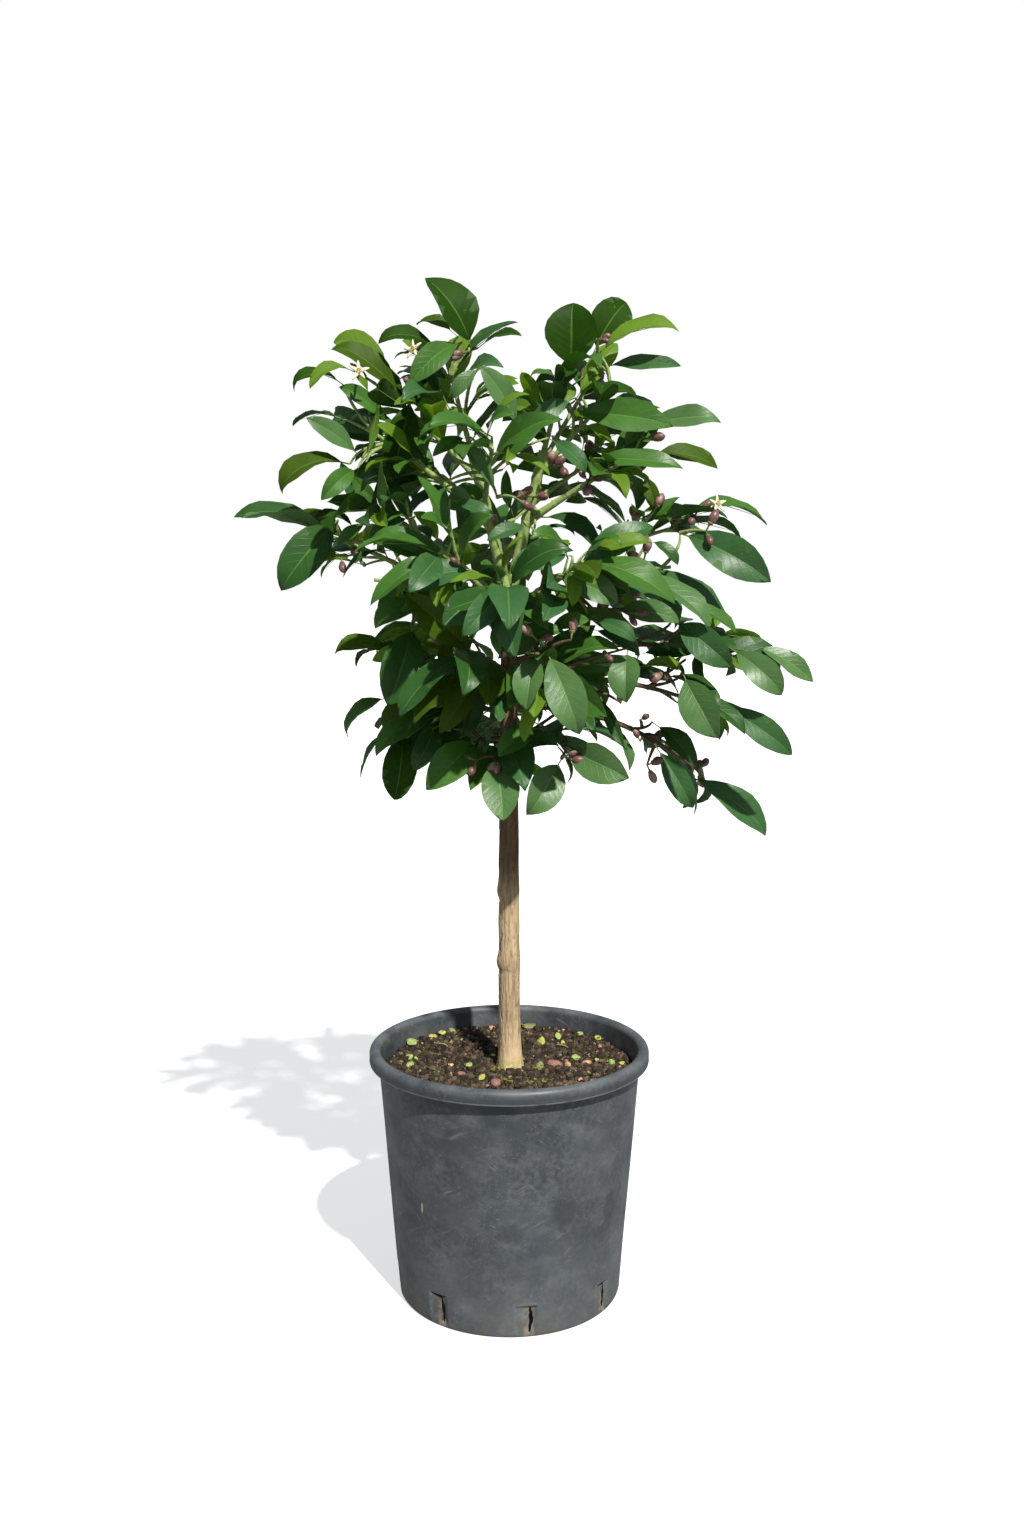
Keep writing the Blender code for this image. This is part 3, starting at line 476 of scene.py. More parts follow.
def shown(name, data, materials=()):
    """Puts a mesh, lamp or camera in the scene."""
    made = bpy.data.objects.new(name, data)
    bpy.context.scene.collection.objects.link(made)
    for material in materials:
        data.materials.append(material)
    return made


def mesh_object(name, points, faces, materials=(), edges=()):
    data = bpy.data.meshes.new(name)
    data.from_pydata([tuple(point) for point in points], edges, faces)
    data.update()
    return shown(name, data, materials)


def bmesh_object(name, shape, materials=()):
    data = bpy.data.meshes.new(name)
    shape.to_mesh(data)
    shape.free()
    return shown(name, data, materials)


def smoothed(made):
    made.data.shade_smooth()
    return made


def facing_out(made):
    """Turns an object's faces to look outwards."""
    shape = bmesh.new()
    shape.from_mesh(made.data)
    bmesh.ops.recalc_face_normals(shape, faces=shape.faces)
    shape.to_mesh(made.data)
    shape.free()
    return made


def plain_mesh(source, keep_uv=False):
    """Turns an object with modifiers into one plain mesh object at the origin, and removes the source."""
    bpy.context.view_layer.update()
    graph = bpy.context.evaluated_depsgraph_get()
    data = bpy.data.meshes.new_from_object(source.evaluated_get(graph), depsgraph=graph)
    name = source.name
    bpy.data.objects.remove(source)
    kept = ("material_index", "UVMap") if keep_uv else ("material_index",)
    for label in [a.name for a in data.attributes if not a.is_internal and not a.is_required]:
        if label not in kept and not label.startswith("sharp_"):
            data.attributes.remove(data.attributes[label])
    return shown(name, data)


def finished(made, slot, *nodes):
    """The piece rides on the plant's one body and stands for the CAD nodes that it replaces, which are hidden. Its
    slot is not used.
    """
    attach(made, "root")
    if nodes:
        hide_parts(*nodes)
    return made


# Node trees


class Flow:
    """A value in a node tree that adds up like a number, so that node maths reads as plain sums."""

    def __init__(self, tree, socket):
        self.tree = tree
        self.socket = socket
        self.is_vector = socket.type == "VECTOR"

    def calc(self, operation, *others):
        node = self.tree.nodes.new("ShaderNodeVectorMath" if self.is_vector else "ShaderNodeMath")
        node.operation = operation
        put(node.inputs[0], self)
        for place, other in enumerate(others, 1):
            put(node.inputs["Scale" if operation == "SCALE" else place], other)
        single = operation == "LENGTH" or not self.is_vector
        return Flow(self.tree, node.outputs["Value" if single else "Vector"])

    def __add__(self, other):
        return self.calc("ADD", other)

    def __sub__(self, other):
        return self.calc("SUBTRACT", other)

    def __mul__(self, other):
        vectors = isinstance(other, tuple) or isinstance(other, Flow) and other.is_vector
        return self.calc("SCALE" if self.is_vector and not vectors else "MULTIPLY", other)

    def __truediv__(self, other):
        return self.calc("DIVIDE", other)

    def sin(self):
        return self.calc("SINE")

    def cos(self):
        return self.calc("COSINE")

    def size(self):
        return self.calc("ABSOLUTE")

    def power(self, exponent):
        return self.calc("POWER", exponent)

    def at_least(self, low):
        return self.calc("MAXIMUM", low)


def put(socket, value):
    """Links a value from the tree to a socket, or sets a plain one."""
    value = value.socket if isinstance(value, Flow) else value
    if isinstance(value, bpy.types.NodeSocket):
        socket.id_data.links.new(value, socket)
    elif value is not None:
        socket.default_value = value


def node(tree, kind, inputs=None, **settings):
    """Adds a node, with its settings and what goes into its sockets."""
    made = tree.nodes.new(kind)
    for name, value in settings.items():
        setattr(made, name, value)
    for name, value in (inputs or {}).items():
        put(made.inputs[name], value)
    return made


def flow_of(tree, kind, inputs=None, output=0, **settings):
    return Flow(tree, node(tree, kind, inputs, **settings).outputs[output])


def new_tree(name, kind, inputs, out=("Geometry", "Geometry")):
    """A node group with named sockets, {name: type}. Returns it, its inputs as flows and its output's socket."""
    tree = bpy.data.node_groups.new(name, kind + "NodeTree")
    for label, socket in inputs.items():
        tree.interface.new_socket(name=label, in_out="INPUT", socket_type="NodeSocket" + socket)
    tree.interface.new_socket(name=out[0], in_out="OUTPUT", socket_type="NodeSocket" + out[1])
    start = tree.nodes.new("NodeGroupInput")
    end = tree.nodes.new("NodeGroupOutput")
    return tree, {label: Flow(tree, start.outputs[label]) for label in inputs}, end.inputs[0]


def grown_by(source, tree, values, keep_uv=False):
    """Runs a Geometry Nodes tree on an object, with its inputs set by name, and keeps the plain result."""
    step = source.modifiers.new(tree.name, "NODES")
    step.node_group = tree
    for item in tree.interface.items_tree:
        if item.in_out == "INPUT" and item.name in values:
            step[item.identifier] = values[item.name]
    return plain_mesh(source, keep_uv)


def named(tree, name, kind="FLOAT"):
    """A named attribute of the geometry."""
    return flow_of(tree, "GeometryNodeInputNamedAttribute", {"Name": name}, data_type=kind)


def points_with(name, points, **values):
    """A mesh of loose points, each with its own numbers or directions under plain names."""
    made = mesh_object(name, points, [])
    for label, items in values.items():
        add_values(made.data, label, items)
    return made


def add_values(data, label, items):
    """Gives each point a whole number, a number or a vector."""
    if isinstance(items[0], int):
        data.attributes.new(label, "INT", "POINT").data.foreach_set("value", items)
    elif isinstance(items[0], float):
        data.attributes.new(label, "FLOAT", "POINT").data.foreach_set("value", items)
    else:
        flat = [number for item in items for number in item]
        data.attributes.new(label, "FLOAT_VECTOR", "POINT").data.foreach_set("vector", flat)


def painted(tree, geometry, choices):
    """Realizes the instances and sets the material of each face by its whole-number attributes."""
    geometry = flow_of(tree, "GeometryNodeRealizeInstances", {0: geometry})
    for material, wanted in choices:
        selection = None
        for label, value in wanted.items():
            pair = {2: named(tree, label, "INT"), 3: value}
            same = flow_of(tree, "FunctionNodeCompare", pair, data_type="INT", operation="EQUAL")
            both = {0: selection, 1: same}
            selection = flow_of(tree, "FunctionNodeBooleanMath", both, operation="AND") if selection else same
        inputs = {"Geometry": geometry, "Selection": selection, "Material": material}
        geometry = flow_of(tree, "GeometryNodeSetMaterial", inputs)
    return geometry


# Shader groups and materials


def mottle_group():
    """A soft mask of blotches or streaks, from 0 to 1."""
    found = bpy.data.node_groups.get("Mottle")
    if found:
        return found
    sockets = {"Place": "Vector", "Stretch": "Vector"}
    sockets.update(dict.fromkeys(("Size", "Detail", "Low", "High", "Shift"), "Float"))
    tree, taken, end = new_tree("Mottle", "Shader", sockets, ("Mask", "Float"))
    spot = taken["Place"] / taken["Stretch"] + taken["Shift"]
    scale = flow_of(tree, "ShaderNodeMath", {0: 1.0, 1: taken["Size"]}, operation="DIVIDE")
    spots = flow_of(tree, "ShaderNodeTexNoise", {"Vector": spot, "Scale": scale, "Detail": taken["Detail"]})
    limits = {"Value": spots, "From Min": taken["Low"], "From Max": taken["High"]}
    put(end, flow_of(tree, "ShaderNodeMapRange", limits, clamp=True))
    return tree


def mottle(tree, size, low=0.35, high=0.65, stretch=(1, 1, 1), detail=4.0, shift=0.0, spot=None):
    """Blotches of a size, by Object coordinates where no other place is given."""
    spot = spot or flow_of(tree, "ShaderNodeTexCoord", output="Object")
    values = {"Place": spot, "Size": size, "Stretch": stretch, "Detail": detail}
    values.update({"Low": low, "High": high, "Shift": shift})
    return flow_of(tree, "ShaderNodeGroup", values, node_tree=mottle_group())


def blend(mask, low, high):
    """Mixes two colours by a mask."""
    low, high = (tone if isinstance(tone, Flow) else (*tone, 1) for tone in (low, high))
    return flow_of(mask.tree, "ShaderNodeMix", {0: mask, 6: low, 7: high}, output=2, data_type="RGBA")


def layered(tone, *layers):
    """Lays colours over a tone one by one, each by its mask."""
    for mask, over in layers:
        tone = blend(mask, tone, over)
    return tone


def shade(base, factor):
    return tuple(min(1.0, channel * factor) for channel in base)


def new_material(name, roughness, specular=0.5):
    """A material with its Principled shader. What varies is linked later."""
    made = bpy.data.materials.new(name)
    made.use_nodes = True
    shader = made.node_tree.nodes["Principled BSDF"]
    put(shader.inputs["Roughness"], roughness)
    put(shader.inputs["Specular IOR Level"], specular)
    return made, made.node_tree, shader


def bumped(shader, height, distance):
    bump = node(height.tree, "ShaderNodeBump", {"Height": height, "Distance": distance})
    put(shader.inputs["Normal"], bump.outputs["Normal"])


def parts_of(vector):
    """The three parts of a vector in a node tree."""
    return [Flow(vector.tree, out) for out in node(vector.tree, "ShaderNodeSeparateXYZ", {0: vector}).outputs]


def object_place(tree):
    """Object coordinates as three flows."""
    return parts_of(flow_of(tree, "ShaderNodeTexCoord", output="Object"))


def band(value, start, stop, from_start=0.0, to_stop=1.0):
    """A smooth step of a value between two limits."""
    limits = {"Value": value, "From Min": start, "From Max": stop, "To Min": from_start, "To Max": to_stop}
    return flow_of(value.tree, "ShaderNodeMapRange", limits, clamp=True, interpolation_type="SMOOTHSTEP")


def spot_mask(tree, spot, radii, soft=0.4):
    """A blotch round one place on the pot, 1 in its middle."""
    gap = (flow_of(tree, "ShaderNodeTexCoord", output="Object") - tuple(spot)) / radii
    return band(gap.calc("LENGTH") + (mottle(tree, 0.012, 0.2, 0.8) - 0.5) * 0.7, 1 + soft, 1 - soft)


def round_at(turn, reach=1.0, height=0.0):
    """The point at an angle round the trunk's line, at a reach and a height."""
    return Vector((reach * math.cos(turn), reach * math.sin(turn), height))


def turns(count):
    """Angles evenly round a circle."""
    return [math.tau * number / count for number in range(count)]


def place(bearing, reach, height):
    return round_at(math.radians(bearing), reach, height)


def mix(low, high, share):
    return low + (high - low) * share


def seen_at(across, down, depth):
    """The place of a spot in the photograph that lies so many millimetres behind the trunk's line."""
    ahead = Vector((0, math.cos(CAMERA_DIP), -math.sin(CAMERA_DIP)))
    above = Vector((0, math.sin(CAMERA_DIP), math.cos(CAMERA_DIP)))
    ray = ahead + Vector((1, 0, 0)) * (across - PICTURE[0] / 2) / FOCAL + above * (PICTURE[1] / 2 - down) / FOCAL
    return CAMERA + ray * (depth / 1000 - CAMERA.y) / ray.y


def in_photo(spot):
    """Where a place on the tree is seen in the photograph, in pixels across and down."""
    off = spot - CAMERA
    away = off.y * math.cos(CAMERA_DIP) - off.z * math.sin(CAMERA_DIP)
    above = off.y * math.sin(CAMERA_DIP) + off.z * math.cos(CAMERA_DIP)
    return PICTURE[0] / 2 + FOCAL * off.x / away, PICTURE[1] / 2 - FOCAL * above / away


def wall_place(tree, lean):
    """Place on the pot's wall as a vector: along and across a line that leans by an angle."""
    right, back, up = object_place(tree)
    round_wall = right.calc("ARCTAN2", back * -1.0) * FOOT_RADIUS
    along = round_wall * math.cos(lean) + up * math.sin(lean)
    across = up * math.cos(lean) - round_wall * math.sin(lean)
    return flow_of(tree, "ShaderNodeCombineXYZ", {"X": along, "Y": across})


def slit_gap(tree):
    """How far round the wall a place is from the nearest drain slit, left of it below zero."""
    right, back, _ = object_place(tree)
    turn = (back.calc("ARCTAN2", right) - math.radians(FIRST_SLOT_BEARING)) * (SLOTS / math.tau) + 0.5
    return (turn - turn.calc("FLOOR") - 0.5) * (math.tau / SLOTS * FOOT_RADIUS)


def plastic_material():
    """Blue-grey black plastic with pale scuffs, dust that dried in runs, dark smudge marks, earth round the drains,
    painted shade on the left side and on the lip's lower face, and a pale lower lip edge that is partly wear and
    partly a painted highlight.
    """
    plastic, dust = colours().plastic, colours().dust
    made, tree, shader = new_material("scuffed_pot_plastic", 0.5, specular=0.45)
    right, back, up = object_place(tree)
    reach = (right * right + back * back).power(0.5)
    gap = slit_gap(tree)
    cloud = mottle(tree, 0.052, 0.40, 0.78, detail=14.0, shift=3.1)
    wisps = mottle(tree, 0.017, 0.48, 0.80, stretch=(1.5, 1.5, 1), detail=12.0, shift=7.7)
    haze = mottle(tree, 0.0050, 0.40, 0.75, detail=8.0, shift=1.3) * mottle(tree, 0.040, 0.35, 0.65, shift=6.1)
    scuffs = None
    for number, (lean, size, low) in enumerate(((0.5, 0.0034, 0.56), (2.4, 0.0022, 0.60), (1.2, 0.0016, 0.62))):
        strokes = mottle(tree, size, low, low + 0.12, (11, 1, 1), 7.0, 2.3 * number, wall_place(tree, lean))
        strokes = strokes * mottle(tree, 0.024, 0.54, 0.66, shift=5.0 + number)
        scuffs = scuffs.at_least(strokes) if scuffs else strokes
    grit = mottle(tree, 0.0017, 0.60, 0.70, detail=3.0, shift=5.0) * mottle(tree, 0.03, 0.42, 0.6, shift=8.0)
    smudges_and_left_shade = (
        ((295.5, 0.1217, 0.1248), (0.0125, 0.03, 0.0115)),
        ((270.3, 0.1205, 0.1072), (0.0125, 0.03, 0.0095)),
        ((322.0, 0.1220, 0.1120), (0.006, 0.02, 0.015)),
        ((98.0, 0.1217, 0.1350), (0.020, 0.03, 0.012)),
        # The blotch at bearing 185, on the left side, is painted shade where the wall turns away from the light; the
        # others are dark smudge marks.
        ((185.0, 0.1200, 0.0950), (0.03, 0.016, 0.018)),
    )
    tick = spot_mask(tree, place(226.7, 0.1214, 0.119), (0.0006, 0.02, 0.0050), soft=0.3)
    pocket = band(gap, -0.0175, -0.0155) * band(gap, 0.0085, 0.0060)
    pocket = pocket * band(up, 0.0372, 0.0345) * band(up, 0.004, 0.018)
    stain = band(up, 0.040, 0.004) * mottle(tree, 0.012, 0.46, 0.64, detail=7.0, shift=9.4)
    crust = band(gap + 0.0012, -0.0070, -0.0016) * band(gap, 0.0046, 0.0014) * band(up, 0.038, 0.022)
    crust = crust * mottle(tree, 0.0040, 0.42, 0.56, detail=6.0, shift=4.4)
    # The pale line along the lip's lower edge is partly wear and partly a painted highlight.
    worn_edge_and_highlight = band(up, 0.2374, 0.2382) * band(up, 0.2404, 0.2392) * band(reach, 0.1365, 0.1380)
    # The lower part of the lip's outer face is darkened as painted shade.
    lip_face_painted_shade = band(up, 0.2475, 0.2430) * band(reach, 0.1370, 0.1385)
    tone = layered(
        blend(mottle(tree, 0.075, 0.3, 0.7), shade(plastic, 0.64), shade(plastic, 1.02)),
        (cloud * 0.30 + band(up, 0.120, 0.030) * 0.10, dust),
        (wisps * 0.30, shade(dust, 1.1)),
        (haze * 0.26, shade(dust, 1.25)),
        (scuffs * 0.42, shade(dust, 1.2)),
        (grit * 0.34, shade(dust, 1.5)),
        # Dark smudge marks, and painted shade on the left side.
        *[(spot_mask(tree, place(*spot), radii) * 0.60, shade(plastic, 0.66)) for spot, radii in smudges_and_left_shade],
        (tick * 0.8, (0.55, 0.58, 0.52)),
        (pocket * mottle(tree, 0.010, 0.35, 0.7, shift=1.7) * 0.45, shade(dust, 1.1)),
        (stain * 0.55, (0.115, 0.098, 0.070)),
        (crust * 0.80, (0.250, 0.205, 0.145)),
        # Pale lower lip edge, partly wear and partly a painted highlight.
        (worn_edge_and_highlight * mottle(tree, 0.02, 0.3, 0.5) * 0.85, shade(dust, 2.6)),
        # Painted shade on the lower part of the lip's outer face.
        (lip_face_painted_shade * 0.60, shade(plastic, 0.42)),
        (band(up, 0.2455, 0.2515) * mottle(tree, 0.03, 0.35, 0.75, shift=2.2) * 0.30, shade(dust, 1.3)),
    )
    put(shader.inputs["Base Color"], tone)
    put(shader.inputs["Roughness"], band(mottle(tree, 0.03, 0.2, 0.8, shift=4.0), 0, 1, 0.36, 0.56))
    bumped(shader, mottle(tree, 0.0011, 0.2, 0.8, detail=3.0) * 0.3 + scuffs * 0.5, 0.00022)
    return made


def earth_material(name, tone, paler=1.9, grain=0.0012):
    """Moist earth: dark with paler, drier grains."""
    made, tree, shader = new_material(name, 0.92, specular=0.25)
    base = blend(mottle(tree, 0.011, 0.38, 0.62, detail=6.0), shade(tone, 0.50), shade(tone, 1.42))
    grains = mottle(tree, grain * 2, 0.50, 0.72, detail=5.0, shift=2.0)
    put(shader.inputs["Base Color"], blend(grains * 0.6, base, shade(tone, paler)))
    bumped(shader, mottle(tree, grain, 0.2, 0.8, detail=6.0), 0.0006)
    return made


def speckled_material(name, tone, roughness=0.7, size=0.004, spread=0.35, relief=0.0002):
    """Small natural things: one tone with lighter and darker flecks."""
    made, tree, shader = new_material(name, roughness, specular=0.35)
    flecks = mottle(tree, size, 0.3, 0.7, detail=5.0)
    put(shader.inputs["Base Color"], blend(flecks, shade(tone, 1 - spread), shade(tone, 1 + spread)))
    bumped(shader, mottle(tree, size / 3, 0.2, 0.8), relief)
    return made


def bud_material():
    """Waxy purple-brown buds, with paler pink blotches."""
    made, tree, shader = new_material("bud_purple_brown", 0.40, specular=0.5)
    flecks = blend(mottle(tree, 0.003, 0.3, 0.7), shade(colours().bud, 0.7), shade(colours().bud, 1.35))
    put(shader.inputs["Base Color"], blend(mottle(tree, 0.020, 0.50, 0.62), flecks, (0.44, 0.28, 0.25)))
    return made


def trunk_material():
    """Pale tan bark with dark fissures, moss at its foot, browner inside the crown, where the dark brown is also
    painted shadow of the crown, and green at the fork.
    """
    old, brown, green = colours().old_bark, colours().brown_bark, colours().green_bark
    made, tree, shader = new_material("lemon_trunk_bark", 0.86, specular=0.25)
    _, _, up = object_place(tree)
    streaks = mottle(tree, 0.0035, 0.3, 0.7, stretch=(1, 1, 9), detail=6.0)
    ragged = up + (mottle(tree, 0.012, 0.0, 1.0, shift=1.0) - 0.5) * 0.03
    crack = flow_of(tree, "ShaderNodeAttribute", output="Fac", attribute_name="crack")
    tone = layered(
        blend(streaks, shade(old, 0.78), shade(old, 1.18)),
        (mottle(tree, 0.016, 0.45, 0.7, (1, 1, 2.5)) * 0.5, shade(old, 0.66)),
        (band(up, SOIL_HEIGHT + 0.060, SOIL_HEIGHT + 0.012) * 0.7, shade(old, 1.5)),
        # Above about 0.41 m the bark turns dark brown: partly browner bark, partly painted shadow cast by the crown.
        (band(ragged, 0.405, 0.445), blend(streaks, shade(brown, 0.62), shade(brown, 1.35))),
        (band(ragged, 0.655, 0.695), blend(streaks, shade(green, 0.6), shade(green, 0.95))),
        (band(up, 0.244, 0.232) * mottle(tree, 0.005, 0.40, 0.56, shift=6.0) * 0.75, (0.30, 0.33, 0.06)),
        (crack * 0.5, (0.14, 0.09, 0.045)),
    )
    put(shader.inputs["Base Color"], tone)
    bumped(shader, mottle(tree, 0.0011, 0.2, 0.8, stretch=(1, 1, 8), detail=6.0), 0.0005)
    return made


def bark_material(name, tone, roughness):
    """Smooth young bark with fine long streaks and small pale dots."""
    made, tree, shader = new_material(name, roughness, specular=0.4)
    base = blend(mottle(tree, 0.004, 0.3, 0.7, detail=5.0), shade(tone, 0.8), shade(tone, 1.2))
    dots = mottle(tree, 0.0014, 0.64, 0.72, detail=2.0, shift=4.0)
    put(shader.inputs["Base Color"], blend(dots * 0.22, base, shade(tone, 1.6)))
    bumped(shader, mottle(tree, 0.0014, 0.2, 0.8), 0.0003)
    return made


def leaf_material(name, tone, glow, share, roughness, veins=0.14, specular=0.5):
    """A waxy leaf: one plain tone with slight mottling and side veins, that lets some light through."""
    made, tree, shader = new_material(name, roughness, specular)
    side, along, _ = parts_of(flow_of(tree, "ShaderNodeUVMap", uv_map="UVMap"))
    across = (side - 0.5).size() * 2
    wave = ((along * 9.0 - across * 2.1) * math.tau).sin()
    line = band(wave, 0.80, 1.0) * band(across, 0.95, 0.5)
    rib = band(across, 0.055, 0.030)
    rib_tone = tuple(mix(a, b, 0.5) for a, b in zip((0.20, 0.32, 0.08), shade(tone, 2.0)))
    base = blend(mottle(tree, 0.020, 0.3, 0.7), shade(tone, 0.86), shade(tone, 1.14))
    put(shader.inputs["Base Color"], layered(base, (line * veins, shade(tone, 1.7)), (rib * 0.7, rib_tone)))
    bumped(shader, line * 0.25 + rib * 1.5 + mottle(tree, 0.0022, 0.2, 0.8) * 0.3 + wave * 0.05, 0.0003)
    through = node(tree, "ShaderNodeBsdfTranslucent", {"Color": (*glow, 1)})
    both = node(tree, "ShaderNodeMixShader", {0: share, 1: shader.outputs[0], 2: through.outputs[0]})
    put(tree.nodes["Material Output"].inputs["Surface"], both.outputs[0])
    return made


# Places on the tree, and the paths of its limbs: the same rule as the solids


def bow_curve(start, middle, end, steps):
    """Points along a quadratic curve from start to end, pulled towards middle."""
    shares = [step / steps for step in range(steps + 1)]
    return [start * (1 - s) ** 2 + middle * (2 * s * (1 - s)) + end * s**2 for s in shares]


def turned(vector, axis, angle):
    return Matrix.Rotation(angle, 3, axis) @ vector


def square_to(vector, axis):
    """The part of a vector at right angles to an axis, at unit length."""
    rest = vector - axis * vector.dot(axis)
    if rest.length < 1e-6:
        rest = axis.orthogonal()
    return rest.normalized()


def point_at(points, share):
    """The point and direction at a share of a path's steps."""
    spot = min(share, 0.9999) * (len(points) - 1)
    step = int(spot)
    low, high = points[step], points[step + 1]
    return low.lerp(high, spot - step), (high - low).normalized()


def distance_to_path(point, points):
    nearest = 1.0
    for low, high in zip(points, points[1:]):
        run = high - low
        share = max(0.0, min(1.0, (point - low).dot(run) / run.length_squared))
        nearest = min(nearest, (point - low - run * share).length)
    return nearest


def smooth(value, start, stop):
    """A smooth step from 0 at start to 1 at stop."""
    share = max(0.0, min(1.0, (value - start) / (stop - start)))
    return share * share * (3 - 2 * share)


def ring_pairs(rings, count, first=0):
    """The numbers of neighbouring points round each of some rings of so many points."""
    for start in range(first, first + rings * count, count):
        for number in range(count):
            yield start + number, start + (number + 1) % count


def wall_radius(height):
    """The wall's outer radius at a height."""
    return mix(FOOT_RADIUS, WALL_TOP_RADIUS, height / (POT_HEIGHT - RIM_DEPTH))


def trunk_radius(height):
    up = height - SOIL_HEIGHT
    share = up / (TRUNK_TOP - SOIL_HEIGHT)
    taper = mix(TRUNK_FOOT_RADIUS, TRUNK_TOP_RADIUS, share**TAPER_POWER)
    knots = sum(math.exp(-(((height - knot) / KNOT_LENGTH) ** 2)) for knot in KNOT_HEIGHTS)
    return taper + FLARE * math.exp(-up / FLARE_HEIGHT) + KNOT_SWELL * knots


def trunk_centre(height):
    """The trunk leans a hair to the left above its foot and comes back under the crown."""
    up = max(0.0, (height - SOIL_HEIGHT) / (TRUNK_TOP - SOIL_HEIGHT) - 0.04)
    return Vector((-TRUNK_SWAY * math.sin(3 * up), TRUNK_SWAY * math.sin(4.5 * up), height))


def trunk_path():
    heights = [mix(SOIL_HEIGHT + CLEAR, TRUNK_TOP, (step / TRUNK_STEPS) ** 1.3) for step in range(TRUNK_STEPS + 1)]
    return [trunk_centre(height) for height in heights], [trunk_radius(height) for height in heights]


def fork_of(shoot, limbs):
    """Where a shoot leaves its parent's centre line."""
    if shoot.parent == "trunk":
        return trunk_centre(shoot.fork)
    return point_at(limbs[shoot.parent][0], shoot.fork)[0]


def shoot_curve(shoot, limbs, steps):
    """The whole centre line of a shoot, from its fork to its tip."""
    start, tip = fork_of(shoot, limbs), place(*shoot.tip)
    return bow_curve(start, (start + tip) / 2 + UP * shoot.bow * (tip - start).length, tip, steps)


def stem_curve(shoot, limbs):
    """A shoot's centre line up to where its last leaf is set."""
    curve = shoot_curve(shoot, limbs, CURVE_STEPS)
    reach = mix(*LAST_LEAF, 0.5)
    return [point for point in curve if (curve[-1] - point).length > reach]


def tapered(points, radius, tip_radius):
    last = len(points) - 1
    return points, [mix(radius, tip_radius, step / last) for step in range(last + 1)]


def part_of(path, low, high, steps):
    """The stretch of a path between two shares of its length."""
    return [point_at(path, mix(low, high, step / steps))[0] for step in range(steps + 1)]


def limb_paths():
    """Centre lines and radii of the trunk, the leaders and every bough that carries foliage at its tip."""
    limbs = {"trunk": trunk_path()}
    for name, shoot in LEADERS.items():
        limbs[name] = tapered(shoot_curve(shoot, limbs, BOUGH_STEPS), LEADER_RADIUS, LEADER_TIP_RADIUS)
    for name, shoot in SHOOTS.items():
        if (place(*shoot.tip) - fork_of(shoot, limbs)).length > SHORTEST_WITH_BOUGH:
            points = part_of(stem_curve(shoot, limbs), 0, KNEE, BOUGH_STEPS)
            limbs["bough_" + name] = tapered(points, BOUGH_RADIUS, BOUGH_TIP_RADIUS)
    return limbs


def stem_path(name, shoot, limbs):
    """The foliage stem: the rest of its shoot, from 0.3 mm past the bough's tip, or all of a short shoot."""
    forked = "bough_" + name in limbs
    points = part_of(stem_curve(shoot, limbs), KNEE if forked else 0, 1, STEM_STEPS)
    if forked:
        points[0] += (points[1] - points[0]).normalized() * CLEAR
    return tapered(points, BOUGH_TIP_RADIUS, STEM_TIP_RADIUS)


def space_axis(stem):
    """The line that a mass's space lies round: the leafy part of its stem, carried on past the tip."""
    heading = (stem[-1] - stem[-2]).normalized()
    return [stem[1], stem[STEM_STEPS // 2], stem[-1], stem[-1] + heading * SPACE_BEYOND]


def in_space(point, own, axes):
    """Whether a point is nearer to its own mass's line than to any other's, give or take a small overlap."""
    limit = distance_to_path(point, axes[own]) - SPACE_OVERLAP
    if point.z < SOIL_HEIGHT + 0.1:
        return False
    return all(distance_to_path(point, axis) > limit for name, axis in axes.items() if name != own)


def twig_paths(stem, rng):
    """Short, straight side twigs that leave the stem."""
    made = []
    roll = rng.uniform(0, math.tau)
    for share in TWIG_PLACES:
        start, heading = point_at(stem, share)
        side = turned(square_to(UP, heading), heading, roll)
        along = turned(heading, heading.cross(side).normalized(), TWIG_SPREAD)
        length = rng.uniform(*TWIG_LENGTH)
        end = start + along * length
        made.append([start, end])
        roll += math.pi * rng.uniform(0.75, 1.1)
    return made


def leaf_spine(leaf, share):
    """The leaf's centre line at a share of its blade: the point, the way on, and the way its face looks."""
    angle = leaf.bend * share
    root = leaf.root + leaf.along * LEAF_STALK
    radius = leaf.length / leaf.bend
    point = root + leaf.along * radius * math.sin(angle) - leaf.face * radius * (1 - math.cos(angle))
    way = leaf.along * math.cos(angle) - leaf.face * math.sin(angle)
    face = leaf.face * math.cos(angle) + leaf.along * math.sin(angle)
    return point, way, face


def leaf_sections(leaf):
    """Three-cornered sections of the blade, [left edge, right edge, keel], and its tip."""
    side = leaf.along.cross(leaf.face)
    half = leaf.length * leaf.breadth * LEAF_WIDTH / 2
    sections = []
    for share, width in LEAF_STATIONS:
        point, _, face = leaf_spine(leaf, share)
        out = side * math.cos(leaf.fold) * half * width
        lift = face * math.sin(leaf.fold) * half * width
        sections.append([point - out + lift, point + out + lift, point - face * leaf.length * LEAF_KEEL / 2])
    return sections, leaf_spine(leaf, 1)[0]


def stalk_section(leaf, point, radius):
    side = leaf.along.cross(leaf.face) * radius
    return [point - side + leaf.face * radius / 2, point + side + leaf.face * radius / 2, point - leaf.face * radius]


